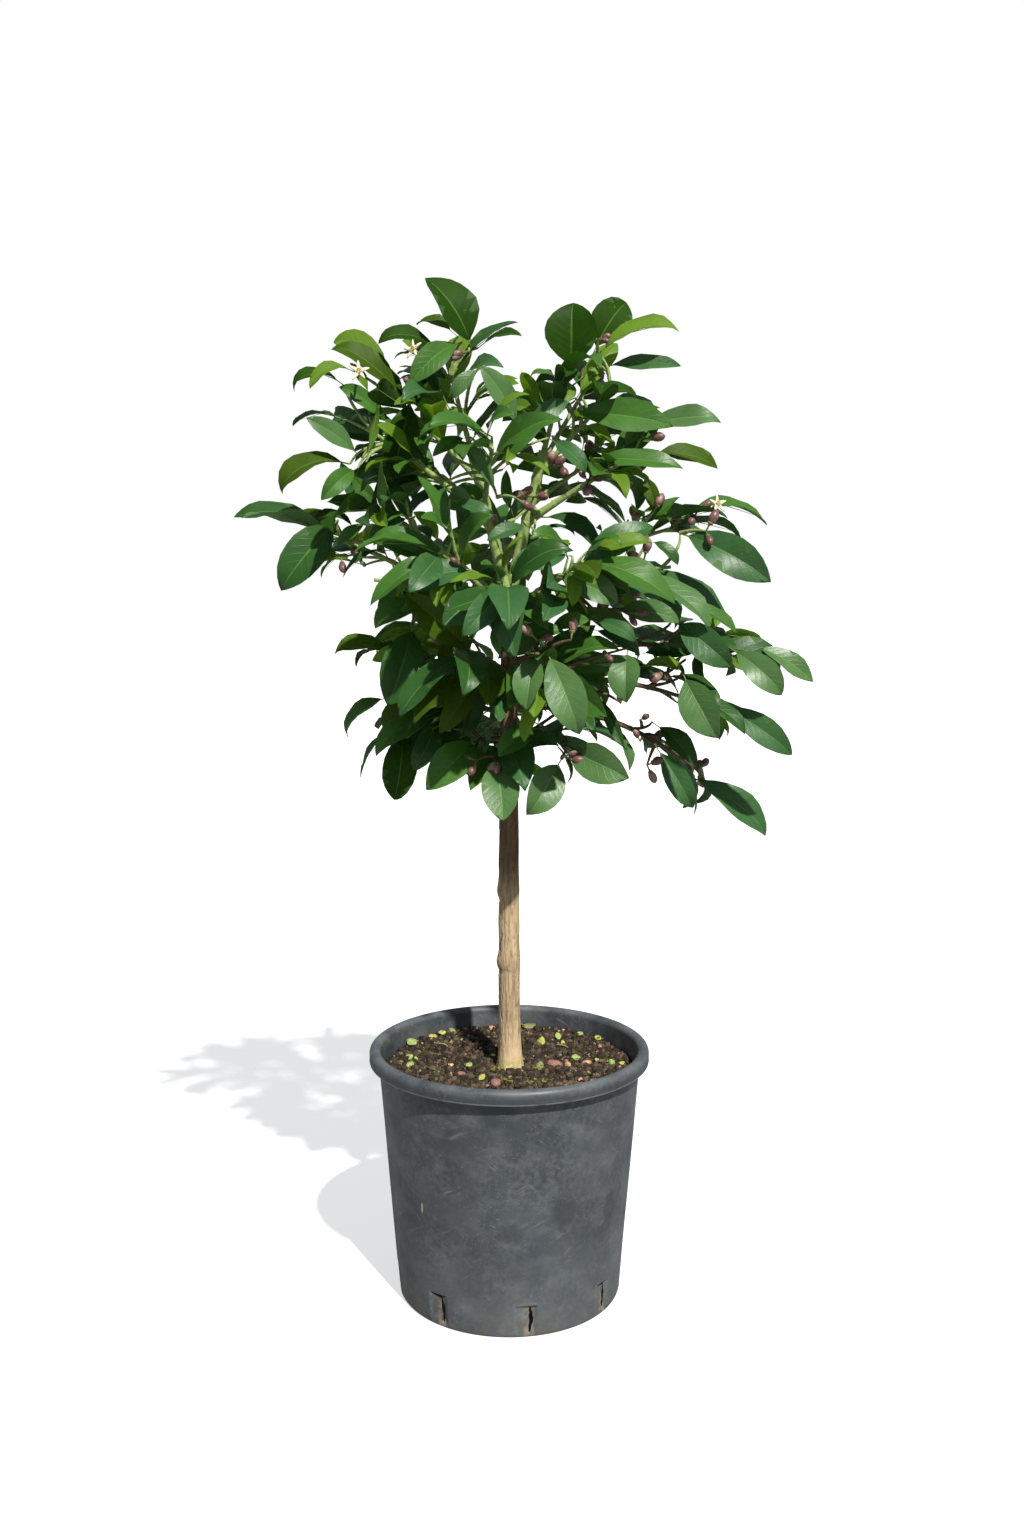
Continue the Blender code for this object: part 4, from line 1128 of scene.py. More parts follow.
def leaf_mesh_data(leaf):
    """Vertices and faces of the simple leaf of the solids, which the fitting rule tests."""
    sections, tip = leaf_sections(leaf)
    foot = stalk_section(leaf, leaf_spine(leaf, 0)[0], 2 * LEAF_ROOT_RADIUS)
    rings = [stalk_section(leaf, leaf.root, LEAF_ROOT_RADIUS), foot, *sections]
    last = 3 * (len(rings) - 1)
    faces = [(0, 2, 1)] + [(a, b, b + 3, a + 3) for a, b in ring_pairs(len(rings) - 1, 3)]
    faces += [(a, b, last + 3) for a, b in ring_pairs(1, 3, last)]
    return [point for ring in rings for point in ring] + [tip], faces


def blade_test_points(leaf):
    """Points over the blade, clear of its root, that have to stay in the mass's space."""
    sections, tip = leaf_sections(leaf)
    return [point for section in sections for point in section] + [tip, leaf_spine(leaf, 0.2)[0]]


def blade_tree(leaf):
    """A search tree of the blade alone, without the stalk, for leaf against leaf."""
    sections, tip = leaf_sections(leaf)
    foot = leaf_spine(leaf, 0.05)[0]
    (left, right, keel), (far_left, far_right, far_keel) = sections
    points = [foot, left, right, keel, far_left, far_right, far_keel, tip]
    faces = [(0, 1, 3), (0, 3, 2), (1, 4, 6, 3), (3, 6, 5, 2), (4, 7, 6), (6, 7, 5)]
    return BVHTree.FromPolygons(points, faces)


def try_leaf(root, heading, roll, share, scale, rng):
    """One leaf set on a stem: share 0 is the stem's foot, where leaves stand out, and 1 its tip."""
    side = turned(square_to(UP, heading), heading, roll)
    spread = math.radians(mix(*LEAF_SPREAD, share) + rng.uniform(-8, 8))
    along = heading * math.cos(spread) + side * math.sin(spread)
    sink = mix(*LEAF_SINK, max(0.0, min(1.0, (root.z - 0.54) / 0.38)))
    along.z = along.z * LEAF_LEVEL - sink * rng.uniform(0.6, 1.4)
    along.normalize()
    out = Vector((root.x, root.y, 0)).normalized()
    facing = heading * 0.7 + UP * 0.8 + out * 0.35 + Vector(TO_LIGHT) * smooth(root.y, 0.06, -0.02)
    face = turned(square_to(facing, along), along, math.radians(rng.uniform(-LEAF_ROLL, LEAF_ROLL)))
    length = rng.uniform(*LEAF_LENGTH) * scale
    bend = math.radians(rng.uniform(*LEAF_BEND))
    return Leaf(root, along, face, length, bend, math.radians(rng.uniform(*LEAF_FOLD)))


def arched_leaf(start, tip, bend, turn, breadth=1.0, tone=""):
    """A leaf from its stalk's root to its tip, arched by an angle and turned about its own line, in degrees."""
    bend = math.radians(bend)
    chord = tip - start
    on, down = math.sin(bend) / bend, (1 - math.cos(bend)) / bend
    square = on**2 + down**2
    root = math.sqrt((LEAF_STALK * on) ** 2 - square * (LEAF_STALK**2 - chord.length_squared))
    length = (root - LEAF_STALK * on) / square
    rise = math.atan2(length * down, LEAF_STALK + length * on)
    way = chord.normalized()
    over = turned(square_to(UP, way), way, math.radians(turn))
    along = way * math.cos(rise) + over * math.sin(rise)
    face = over * math.cos(rise) - way * math.sin(rise)
    return Leaf(start, along, face, length, bend, math.radians(mix(*LEAF_FOLD, 0.5)), breadth, tone)


def before_opening(leaf):
    """Whether much of a leaf would close an opening of the crown, where the photograph shows sky."""
    sections, tip = leaf_sections(leaf)
    points = [*sections[0][:2], *sections[1][:2], tip] + [leaf_spine(leaf, s)[0] for s in (0.1, 0.35, 0.6, 0.85)]
    spots = [in_photo(point) for point in points]

    def before(openings):
        return [any(math.dist(spot, opening[:2]) < opening[2] for opening in openings) for spot in spots]

    in_front = leaf_spine(leaf, 0.5)[0].y < -0.02
    return in_front and any(before(VIEWS)) or sum(before(OPENINGS)) > MOST_BEFORE_OPENING


def grown_leaf(leaf, mass):
    """A leaf's middle with search trees of its blade alone and of the whole leaf, stalk and all."""
    return Grown(mass, leaf_spine(leaf, 0.5)[0], blade_tree(leaf), BVHTree.FromPolygons(*leaf_mesh_data(leaf)))


def leaves_cross(new, old):
    """Leaves of one mass may meet at their stalks, and leaves of two masses may not meet at all."""
    if (new.middle - old.middle).length > 2 * LEAF_LENGTH[1] + LEAF_STALK:
        return False
    if new.mass == old.mass:
        return bool(new.blade.overlap(old.blade))
    return bool(new.whole.overlap(old.whole))


def touches(new, limb_tree, leaves):
    return bool(new.blade.overlap(limb_tree)) or any(leaves_cross(new, old) for old in leaves)


def leaf_fits(leaf, own, axes, limb_tree, leaves):
    """Whether a leaf keeps to its mass's space and touches no limb, twig or earlier leaf."""
    points = blade_test_points(leaf)
    if any(limb_tree.find_nearest(point, LIMB_CLEARANCE)[0] for point in points):
        return False
    inside = all(in_space(point, own, axes) for point in points)
    return inside and not touches(grown_leaf(leaf, own), limb_tree, leaves)


def leaf_places(stem, twigs, shoot):
    """(path, share along it) of each leaf that a mass tries to grow, from the foot outwards."""
    first = max(FIRST_LEAF, NEAREST_LEAF / (stem[-1] - stem[0]).length)
    steps = [(n / (shoot.leaves - 1)) ** LEAF_CROWDING for n in range(shoot.leaves)]
    places = [(stem, mix(first, 0.97, step)) for step in steps]
    for twig in twigs:
        places += [(twig, mix(0.45, 0.98, n / (TWIG_LEAVES - 1))) for n in range(TWIG_LEAVES)]
    return places


def fitted_leaf(name, root, heading, roll, share, size, space, leaves, rng):
    """The first leaf of a few tries that fits, or None where the place stays bare."""
    for number in range(TRIES):
        swing = 0.45 * ((number + 1) // 2) * (-1) ** number
        leaf = try_leaf(root, heading, roll + swing, share, size * (1 - 0.035 * number), rng)
        if not before_opening(leaf) and leaf_fits(leaf, name, *space, leaves):
            leaves.append(grown_leaf(leaf, name))
            return leaf
    return None


def limb_surface(paths):
    """One search tree of every limb's and twig's surface, as thin six-sided tubes."""
    points, faces = [], []
    for path, radii in paths:
        faces += [(a, a + 6, b + 6, b) for a, b in ring_pairs(len(path) - 1, 6, len(points))]
        for number, (point, radius) in enumerate(zip(path, radii)):
            way = way_along(path, number)
            side = square_to(UP, way)
            points += [point + turned(side, way, corner * math.pi / 3) * radius for corner in range(6)]
    return BVHTree.FromPolygons(points, faces)


def way_along(path, number):
    """The direction of a path at one of its points."""
    return (path[min(number + 1, len(path) - 1)] - path[max(number - 1, 0)]).normalized()


def grow():
    """Works out the crown: set and last leaves first, then the others, then finer twigs, young leaves and buds."""
    limbs = limb_paths()
    stems = {name: stem_path(name, shoot, limbs) for name, shoot in SHOOTS.items()}
    axes = {name: space_axis(stem) for name, (stem, _) in stems.items()}
    draws = {name: random.Random(f"{name} {SEED}") for name in SHOOTS}
    twigs = {}
    for name, (stem, _) in stems.items():
        twigs[name] = [path for path in twig_paths(stem, draws[name]) if in_space(path[-1], name, axes)]
    tubes = [*limbs.values(), *stems.values()]
    tubes += [(path, [TWIG_RADIUS] * len(path)) for paths in twigs.values() for path in paths]
    space = (axes, limb_surface(tubes))
    leaves = []
    grown = {name: [] for name in SHOOTS}
    for name, rows in SET_LEAVES.items():
        grown[name] = [arched_leaf(seen_at(*root), seen_at(*tip), *shape) for root, tip, *shape in rows]
        leaves += [grown_leaf(leaf, name) for leaf in grown[name]]
    for name, shoot in SHOOTS.items():
        end, bend = stems[name][0][-1], draws[name].uniform(*LAST_LEAF_BEND)
        if name in SET_LEAVES:
            continue
        leaf = arched_leaf(end, place(*shoot.tip), bend, shoot.turn)
        leaf = leaf._replace(root=end - leaf.along * STEM_TIP_RADIUS)
        new = grown_leaf(leaf, name)
        if not touches(new, space[1], leaves):
            grown[name].append(leaf)
            leaves.append(new)
    for name, shoot in SHOOTS.items():
        rng = draws[name]
        roll = rng.uniform(0, math.tau)
        for path, share in leaf_places(stems[name][0], twigs[name], shoot):
            root, heading = point_at(path, share)
            leaf = fitted_leaf(name, root, heading, roll, share, GROWN_SIZE, space, leaves, rng)
            grown[name] += [leaf] if leaf else []
            roll += SPIRAL
    crown = Crown(limbs, stems, twigs, grown, {}, {}, [], [])
    for name in SHOOTS:
        grow_finer(name, crown, space, leaves)
    crown.buds[:] = [bud for bud in crown.buds if bud[0].y > 0]
    crown.flowers.append(crown.buds[-1][:2])
    set_buds(crown)
    return crown


def set_buds(crown):
    """Buds and flowers where the photograph shows them, each on the limb that is seen nearest to it."""
    spots = []
    for name in SHOOTS:
        for path in [crown.stems[name][0], *crown.twigs[name], *crown.fine_twigs[name]]:
            spots += [(name, point_at(path, step / 10)[0]) for step in range(1, 11)]
    for across, down, *count in SET_BUDS + SET_FLOWERS:
        seen = Vector((across, down))
        name, spot = min(spots, key=lambda row: (Vector(in_photo(row[1])) - seen).length + row[1].y * 220)
        end = seen_at(across, down, spot.y * 1000 - 16)
        if (end - spot).length > 0.006:
            crown.fine_twigs[name].append(bow_curve(spot, spot.lerp(end, 0.5) + UP * 0.003, end, 4))
        way = (end - spot).normalized()
        if count:
            crown.buds.append((end, way, *count))
        else:
            crown.flowers.append((end, way))


def grow_finer(name, crown, space, leaves):
    """Short extra twigs in the leaf axils of one mass, each with young leaves, and its clusters of buds."""
    rng = random.Random(f"fine {name}")
    stem, _ = crown.stems[name]
    crown.fine_twigs[name], crown.fine_leaves[name] = [], []
    limbs = [path for path, _ in crown.stems.values()]
    for root in [seen_at(*row[0]) for row in SET_LEAVES.get(name, ())]:
        nearest = min(limbs, key=lambda path: distance_to_path(root, path))
        if distance_to_path(root, nearest) > 0.004:
            crown.fine_twigs[name].append(twig_to(root, nearest))
    for _ in range(plant_sizes().fine_twigs):
        share = rng.uniform(0.25, 0.95)
        start, heading = point_at(stem, share)
        side = turned(square_to(UP, heading), heading, rng.uniform(0, math.tau))
        way = (heading * 0.8 + side + UP * 0.25).normalized()
        end = start + way * rng.uniform(0.012, 0.026)
        if not in_space(end, name, space[0]):
            continue
        young = []
        for number in range(3):
            scale = plant_sizes().fine_leaf * rng.uniform(0.75, 1.2)
            leaf = fitted_leaf(name, end, way, number * SPIRAL, 0.95, scale, space, leaves, rng)
            young += [leaf] if leaf else []
        if young:
            crown.fine_twigs[name].append([start, start.lerp(end, 0.5) + UP * 0.0008, end])
            crown.fine_leaves[name] += young
            crown.buds.append((end, way, rng.choice((0, 1, 2))))
    crown.buds.append((stem[-1], (stem[-1] - stem[-2]).normalized(), 3))
    for leaf in crown.leaves[name][1:]:
        if rng.random() < 0.14:
            crown.buds.append((leaf.root, (leaf.along + leaf.face).normalized(), rng.choice((1, 2, 3))))


def twig_to(root, stem):
    """A bowed twig that leaves a stem and ends at a leaf's root."""
    spots = [point_at(stem, step / 40) for step in range(41)]
    start, heading = min(spots, key=lambda spot: (spot[0] + spot[1] * (root - spot[0]).length * 0.5 - root).length)
    return bow_curve(start, start.lerp(root, 0.5) + heading * (root - start).length * 0.3, root, 4)


# Pot


# How many points of the pot's section come before its outer wall, which has the pockets
BEFORE_OUTER_WALL = 40


def slot_bearings():
    return [FIRST_SLOT_BEARING + number * 360 / SLOTS for number in range(SLOTS)]


def arc(radius, centre_radius, centre_height, from_deg, to_deg, points):
    """Points of an arc in the rim's section."""
    angles = [math.radians(mix(from_deg, to_deg, n / (points - 1))) for n in range(points)]
    return [(centre_radius + radius * math.cos(a), centre_height + radius * math.sin(a)) for a in angles]


def pot_section():
    """The pot's section as (radius, height), from the inner floor up the inside, over the lip and down outside."""
    rim_low = POT_HEIGHT - RIM_DEPTH
    inner_top = WALL_TOP_RADIUS - WALL
    roll = (RIM_RADIUS - inner_top) / 2
    centre = (inner_top + roll, POT_HEIGHT - roll)
    inner_floor = wall_radius(FLOOR) - WALL
    outside = [0.0365 - 0.00115 * step for step in range(30)]
    upper = [mix(rim_low, 0.0380, (step + 1) / 20) for step in range(20)]
    edge = RIM_RADIUS - RIM_SHEET / 2
    return [
        (0.0001, FLOOR),
        (inner_floor * 0.6, FLOOR),
        (inner_floor - FOOT_ROUND, FLOOR),
        (inner_floor, FLOOR + FOOT_ROUND),
        *[(wall_radius(z) - WALL, z) for z in (0.05, 0.10, 0.15, 0.19, 0.215, 0.2275, rim_low)],
        *arc(roll, *centre, 180, 0, 19),
        (RIM_RADIUS - 0.00006, rim_low + 0.0032),
        (RIM_RADIUS + 0.00012, rim_low + 0.0014),
        *arc(RIM_SHEET / 2, edge, rim_low + 0.0008, 0, -180, 7)[1:],
        (RIM_RADIUS - RIM_SHEET, rim_low + 0.002),
        *arc(roll - RIM_SHEET, *centre, 0, 100, 6)[1:],
        (WALL_TOP_RADIUS + 0.0008, POT_HEIGHT - roll - 0.0005),
        (WALL_TOP_RADIUS, POT_HEIGHT - roll - 0.0030),
        (WALL_TOP_RADIUS, rim_low),
        *[(wall_radius(z), z) for z in upper],
        *[(wall_radius(z), z) for z in outside if z > 0.0036],
        *arc(FOOT_ROUND, FOOT_RADIUS - FOOT_ROUND, FOOT_ROUND, 0, -90, 6),
        (FOOT_RADIUS * 0.5, 0),
        (0.0001, 0),
    ]


def pocket_depth(turn, height):
    """How far the wall is pressed in beside the drain slits, deepest along the slit and sharp at its top edge."""
    sizes = pot_sizes()
    depth = 0.0
    for number, bearing in enumerate(slot_bearings()):
        off = (math.degrees(turn) - bearing + 180) % 360 - 180
        across = math.radians(off) * FOOT_RADIUS
        if abs(across) > sizes.pocket_width * 1.2:
            continue
        top = sizes.slit_top + 0.002 + 0.002 * math.sin(number * 2.1)
        left = 0.0055 - sizes.pocket_width
        ramp = smooth(across, left - 0.0012, left) * smooth(across, 0.0068, 0.0050)
        ramp *= 0.45 + 0.55 * smooth(across, left, -0.001)
        depth += ramp * smooth(height, top, top - 0.0014) * smooth(height, 0.0, 0.010)
    return depth * sizes.pocket_depth


def set_aside(name, objects):
    """Moves objects to a collection of their own, which a modifier uses."""
    kinds = bpy.data.collections.new(name)
    bpy.context.scene.collection.children.link(kinds)
    for item in objects:
        bpy.context.scene.collection.objects.unlink(item)
        kinds.objects.link(item)
    return kinds


def cleared(kinds):
    for used in list(kinds.objects):
        bpy.data.objects.remove(used)
    bpy.data.collections.remove(kinds)


def build_pot():
    """A closed shell of revolution with a rolled lip, slightly out of true, with pressed-in drain pockets."""
    section = pot_section()
    count, columns = len(section), 560
    shape = bmesh.new()
    corners = []
    for turn in turns(columns):
        way = round_at(turn)
        for number, (radius, height) in enumerate(section):
            if radius > 0.05:
                true = noise.noise(Vector((way.x * 1.3, way.y * 1.3, height * 9)))
                radius += pot_sizes().dent * true * smooth(height, 0.0, 0.05) - 0.0001
                if number > BEFORE_OUTER_WALL:
                    radius -= pocket_depth(turn, height)
            corners.append(shape.verts.new(way * radius + UP * height))
    for column in range(columns):
        for row in range(count - 1):
            a, b = column * count + row, (column + 1) % columns * count + row
            shape.faces.new([corners[corner] for corner in (a, a + 1, b + 1, b)])
    bmesh.ops.remove_doubles(shape, verts=shape.verts, dist=3e-5)
    bmesh.ops.recalc_face_normals(shape, faces=shape.faces)
    pot = bmesh_object("nursery_pot", shape, [plastic_material()])
    cutters = set_aside("drain_cutters", [slit_cutter(*slot) for slot in enumerate(slot_bearings())])
    cut = pot.modifiers.new("drain slits", "BOOLEAN")
    cut.operand_type, cut.collection, cut.solver = "COLLECTION", cutters, "EXACT"
    made = plain_mesh(pot)
    cleared(cutters)
    return finished(smoothed(made), "pot", "pot")


def slit_cutter(number, bearing):
    """One torn drain slit: a ragged spindle, on some with a leg along the pocket's top edge."""
    rng = random.Random(f"slit {number}")
    high, width = pot_sizes().slit_top, pot_sizes().slit_width
    left, right = [], []
    for step in range(9):
        share = step / 8
        half = width / 2 * (0.25 + math.sin(math.pi * min(0.95, max(0.05, share))) ** 0.8)
        lean = 0.0010 * math.sin(3 * share + number) + rng.uniform(-0.0003, 0.0003)
        height = mix(0.0045, high, share)
        left.append((lean - half * rng.uniform(0.7, 1.1), height))
        right.append((lean + half * rng.uniform(0.7, 1.1), height))
    if number % 2:
        end = left.pop()[0]
        leg = [(end - 0.0105, high + 0.0022), (end - 0.0110, high + 0.0009)]
        right += [(right[-1][0], high + 0.0012), *leg, (end, high - 0.0006)]
    outline = right + left[::-1]
    out = place(bearing, 1, 0)
    side = Vector((-out.y, out.x, 0))
    reaches = (FOOT_RADIUS - 0.0045, FOOT_RADIUS + 0.008)
    points = [out * reach + side * across + UP * height for reach in reaches for across, height in outline]
    count = len(outline)
    faces = [tuple(range(count))[::-1], tuple(range(count, 2 * count))]
    faces += [(a, b, count + b, count + a) for a, b in ring_pairs(1, count)]
    return facing_out(mesh_object(f"slit_{number}", points, faces))


# Soil and what lies on it


def soil_top(x, y):
    """The height of the soil's rough surface, a little heaped towards the back and round the trunk."""
    spot = Vector((x, y, 0.3))
    reach = math.hypot(x, y)
    lumps = noise.noise(spot / 0.021) * 0.7 + noise.noise(spot / 0.0085 + UP * 5) * 0.4
    clods = 0.5 - noise.voronoi(spot / 0.0075)[0][0]
    crumbs = noise.noise(spot / 0.0036 + UP * 9) * 0.0009
    heap = 0.0044 * smooth(y, 0.02, 0.11) + 0.0018 * smooth(reach, 0.045, 0.012)
    return SOIL_HEIGHT + pot_sizes().clod * (lumps * 0.7 + clods * 0.6) + crumbs + heap - 0.0018


def on_top(turn, reach, lift=0.0):
    """The point of the soil's surface at an angle and a reach."""
    x, y = reach * math.cos(turn), reach * math.sin(turn)
    return Vector((x, y, soil_top(x, y) + lift))


def build_soil():
    """The closed fill of earth, with its rough top."""
    rings, columns = 110, 360
    points = [on_top(0, 0)]
    for ring in range(1, rings + 1):
        reach = ring / rings * (wall_radius(SOIL_HEIGHT) - WALL - 0.0004)
        points += [on_top(turn, reach) for turn in turns(columns)]
    for height in (0.15, FLOOR + CLEAR):
        points += [round_at(turn, wall_radius(height) - WALL - 0.0006, height) for turn in turns(columns)]
    faces = [(0, a, b) for a, b in ring_pairs(1, columns, 1)]
    faces += [(a, a + columns, b + columns, b) for a, b in ring_pairs(rings + 1, columns, 1)]
    faces.append(tuple(range(len(points) - columns, len(points)))[::-1])
    # The fill shows only in the gaps between the crumbs; its very dark earth is partly painted shade in those gaps.
    material = earth_material("moist_earth", shade(colours().earth, 0.34), 2.6)
    return finished(smoothed(mesh_object("soil_fill", points, faces, [material])), "soil", "soil")


def lump_mesh(name, seed, squash, rough):
    """A small irregular lump about 2 units across, of 18 faces."""
    shape = bmesh.new()
    bmesh.ops.create_uvsphere(shape, u_segments=6, v_segments=3, radius=1)
    for corner in shape.verts:
        corner.co *= 1 + rough * noise.noise(corner.co * 1.3 + UP * seed * 7)
        corner.co.z *= squash
    return bmesh_object(name, shape)


def lump_kinds(name, count, squash, rough):
    """A collection of lumps to strew."""
    lumps = [lump_mesh(f"{name}_{number}", number + 20 * squash, squash, rough) for number in range(count)]
    return set_aside(name, lumps)


def scatter_tree():
    """Strews lumps over a surface by a seeded rule and realizes them."""
    sockets = {"Geometry": "Geometry", "Lumps": "Collection", "Seed": "Int", "Material": "Material"}
    sockets.update(dict.fromkeys(("Density", "Smallest", "Largest", "Rarity"), "Float"))
    tree, taken, end = new_tree("Strewn on soil", "Geometry", sockets)
    seed = taken["Seed"]
    inputs = {"Mesh": taken["Geometry"], "Density": taken["Density"], "Seed": seed}
    spots = flow_of(tree, "GeometryNodeDistributePointsOnFaces", inputs)
    inputs = {"Collection": taken["Lumps"], "Separate Children": True, "Reset Children": True}
    lumps = flow_of(tree, "GeometryNodeCollectionInfo", inputs)
    inputs = {1: (math.tau,) * 3, "Seed": seed}
    spin = flow_of(tree, "FunctionNodeRandomValue", inputs, data_type="FLOAT_VECTOR")
    share = flow_of(tree, "FunctionNodeRandomValue", {"Seed": seed + 3.0}, output=1, data_type="FLOAT")
    size = taken["Smallest"] + (taken["Largest"] - taken["Smallest"]) * share.power(taken["Rarity"])
    inputs = {"Points": spots, "Instance": lumps, "Pick Instance": True, "Rotation": spin, "Scale": size}
    strewn = flow_of(tree, "GeometryNodeInstanceOnPoints", inputs)
    solid = flow_of(tree, "GeometryNodeRealizeInstances", {"Geometry": strewn})
    put(end, flow_of(tree, "GeometryNodeSetMaterial", {"Geometry": solid, "Material": taken["Material"]}))
    return tree


def soil_patch(name, inner, outer):
    """A bare ring of the soil's surface to strew things on."""
    rings, columns = 14, 60
    reaches = [mix(inner, outer, ring / rings) for ring in range(rings + 1)]
    points = [on_top(turn, reach, 0.0001) for reach in reaches for turn in turns(columns)]
    return mesh_object(name, points, [(a, a + columns, b + columns, b) for a, b in ring_pairs(rings, columns)])


# What is strewn on the soil: the material, the lumps, how many as a share of the crumbs, the smallest and the largest
# radius, how rare the large ones are, and the seed
STREWN = (
    ("crumbs_dark", "clods", 1.4, 0.0006, 0.0046, 3.6, 11), ("crumbs_brown", "clods", 0.8, 0.0006, 0.0044, 3.2, 23),
    ("crumbs_red", "clods", 0.2, 0.0007, 0.0036, 2.5, 31), ("crumbs_pale", "clods", 0.14, 0.0005, 0.0024, 2.6, 37),
    ("stones_pink", "stones", 0.026, 0.001, 0.0034, 1.8, 5), ("stones_tan", "stones", 0.022, 0.001, 0.0032, 1.8, 8),
    ("flecks_olive", "flakes", 0.075, 0.001, 0.0036, 1.6, 13),
    ("flecks_lime", "flakes", 0.022, 0.0009, 0.0026, 1.4, 17),
    ("flecks_straw", "flakes", 0.03, 0.0009, 0.003, 1.4, 19),
)


def build_crumbs():
    """Crumbs of four earths, small stones and flecks of leaf, strewn over the soil."""
    kinds = {
        "clods": lump_kinds("clods", 5, 0.8, 0.75),
        "stones": lump_kinds("stones", 3, 0.62, 0.35),
        "flakes": lump_kinds("flakes", 3, 0.12, 0.6),
    }
    earth = colours().earth
    materials = (
        earth_material("crumb_dark", shade(earth, 0.80), 1.8),
        earth_material("crumb_brown", shade(earth, 1.75), 1.5),
        earth_material("crumb_red_brown", (0.120, 0.070, 0.052), 1.4),
        earth_material("crumb_pale", (0.25, 0.20, 0.145), 1.4),
        speckled_material("small_stone_pink", (0.36, 0.20, 0.16), 0.75),
        speckled_material("small_stone_tan", (0.42, 0.30, 0.19), 0.75),
        speckled_material("fleck_olive", (0.13, 0.15, 0.035), 0.8),
        speckled_material("fleck_lime", (0.30, 0.38, 0.06), 0.7),
        speckled_material("fleck_straw", (0.42, 0.34, 0.17), 0.8),
    )
    tree = scatter_tree()
    for (name, kind, share, *sizes), material in zip(STREWN, materials):
        values = {"Lumps": kinds[kind], "Density": pot_sizes().crumbs * share, "Material": material}
        values.update(zip(("Smallest", "Largest", "Rarity", "Seed"), sizes))
        finished(smoothed(grown_by(soil_patch(name, 0.011, 0.1245), tree, values)), "soil")
    for kind in kinds.values():
        cleared(kind)


# What lies on the soil and can be told apart: its kind, where the photograph shows it and half its length in mm
FINDS = (
    ("red stone", 458, 1026, 4.6), ("tan stone", 492, 1028, 4.8), ("red stone", 469, 1022, 2.6),
    ("red stone", 555, 1066, 8.5), ("tan stone", 568, 1066, 4.6), ("red stone", 566, 1062, 2.8),
    ("tan stone", 587, 1063, 5.0), ("cream stone", 576, 1073, 3.0), ("tan stone", 582, 1081, 4.4),
    ("red stone", 461, 1075, 4.8), ("red stone", 496, 1085, 7.2), ("cream stone", 451, 1066, 3.2),
    ("red stone", 394, 1053, 3.2), ("red stone", 401, 1063, 3.0), ("tan stone", 563, 1031, 2.4),
    ("red stone", 624, 1054, 2.2), ("tan stone", 480, 1050, 3.4), ("red stone", 475, 1046, 4.4),
    ("red stone", 466, 1056, 3.0), ("cream stone", 594, 1076, 2.0), ("lime bit", 412, 1045, 6.2),
    ("yellow bit", 433, 1039, 4.4), ("yellow bit", 442, 1037, 4.0), ("lime bit", 409, 1060, 4.0),
    ("lime bit", 410, 1068, 4.4), ("lime bit", 416, 1061, 2.2), ("lime bit", 469, 1068, 4.0),
    ("yellow bit", 482, 1080, 3.6), ("yellow bit", 493, 1058, 2.4), ("yellow bit", 541, 1047, 5.4),
    ("lime bit", 558, 1041, 4.2), ("yellow bit", 563, 1046, 2.8), ("lime bit", 588, 1032, 3.6),
    ("yellow bit", 598, 1042, 4.0), ("lime bit", 576, 1059, 4.2), ("lime bit", 597, 1063, 2.6),
    ("lime bit", 612, 1065, 3.6), ("yellow bit", 622, 1066, 2.6), ("olive bit", 531, 1024, 6.8),
    ("olive bit", 447, 1030, 3.6), ("olive bit", 540, 1068, 4.4), ("moss", 511, 1070, 6.0), ("moss", 522, 1069, 5.0),
    ("moss", 538, 1068, 6.0), ("moss", 530, 1082, 7.5), ("moss", 544, 1083, 6.5), ("moss", 496, 1072, 5.0),
    ("moss", 606, 1064, 6.0), ("moss", 508, 1083, 5.0), ("straw", 441, 1049, 9.0), ("straw", 450, 1044, 5.0),
    ("straw", 562, 1049, 8.0), ("dark straw", 426, 1069, 13.0), ("dark straw", 419, 1062, 8.0),
    ("straw", 521, 1027, 6.0), ("straw", 590, 1058, 5.0), ("seedling", 601, 1043, 2.6), ("seedling", 540, 1067, 3.0),
    ("seedling", 513, 1071, 2.6),
)


def strip_faces(rows, far=-1):
    """Faces of a thin closed strip: two layers of rows of three points. The far rims' corners may run backwards."""
    side = 3 * (rows + 1)
    faces = []
    for row in range(0, 3 * rows, 3):
        for a in (row, row + 1):
            faces += [(a, a + 3, a + 4, a + 1), (side + a, side + a + 1, side + a + 4, side + a + 3)]
        faces += [(a, side + a, side + a + 3, a + 3)[::step] for a, step in ((row, 1), (row + 2, far))]
    for row, step in ((0, 1), (3 * rows, far)):
        faces += [(a, a + 1, side + a + 1, side + a)[::step] for a in (row, row + 1)]
    return faces


def small_leaf(length, width, cup, seed):
    """A little leaf or leaf scrap about the origin, along X, with a thickness. Returns points and faces."""
    rng = random.Random(seed)
    rows = 6
    points = []
    for layer in (1, -1):
        for row in range(rows + 1):
            share = row / rows
            half = width * math.sin(math.pi * min(0.97, max(0.03, share))) ** 0.7 * rng.uniform(0.92, 1.08)
            for across in (-1, 0, 1):
                lift = cup * (share * 2 - 1) ** 2 + cup * 0.8 * abs(across)
                points.append(Vector(((share * 2 - 1) * length, across * half, lift + layer * 0.00016)))
    return points, strip_faces(rows)


def tube_faces(rings, count):
    """Faces of a closed tube of some rings of so many points: its sides, its start and its end."""
    last = (rings - 1) * count
    sides = [(a, b, b + count, a + count) for a, b in ring_pairs(rings - 1, count)]
    return [*sides, tuple(range(count))[::-1], tuple(range(last, last + count))]


def add_faces(shape, corners, faces, material, is_smooth=True):
    for face in faces:
        made = shape.faces.new([corners[corner] for corner in face])
        made.material_index = material
        made.smooth = is_smooth


def add_to(shape, points, faces, transform, material):
    add_faces(shape, [shape.verts.new(transform @ point) for point in points], faces, material)


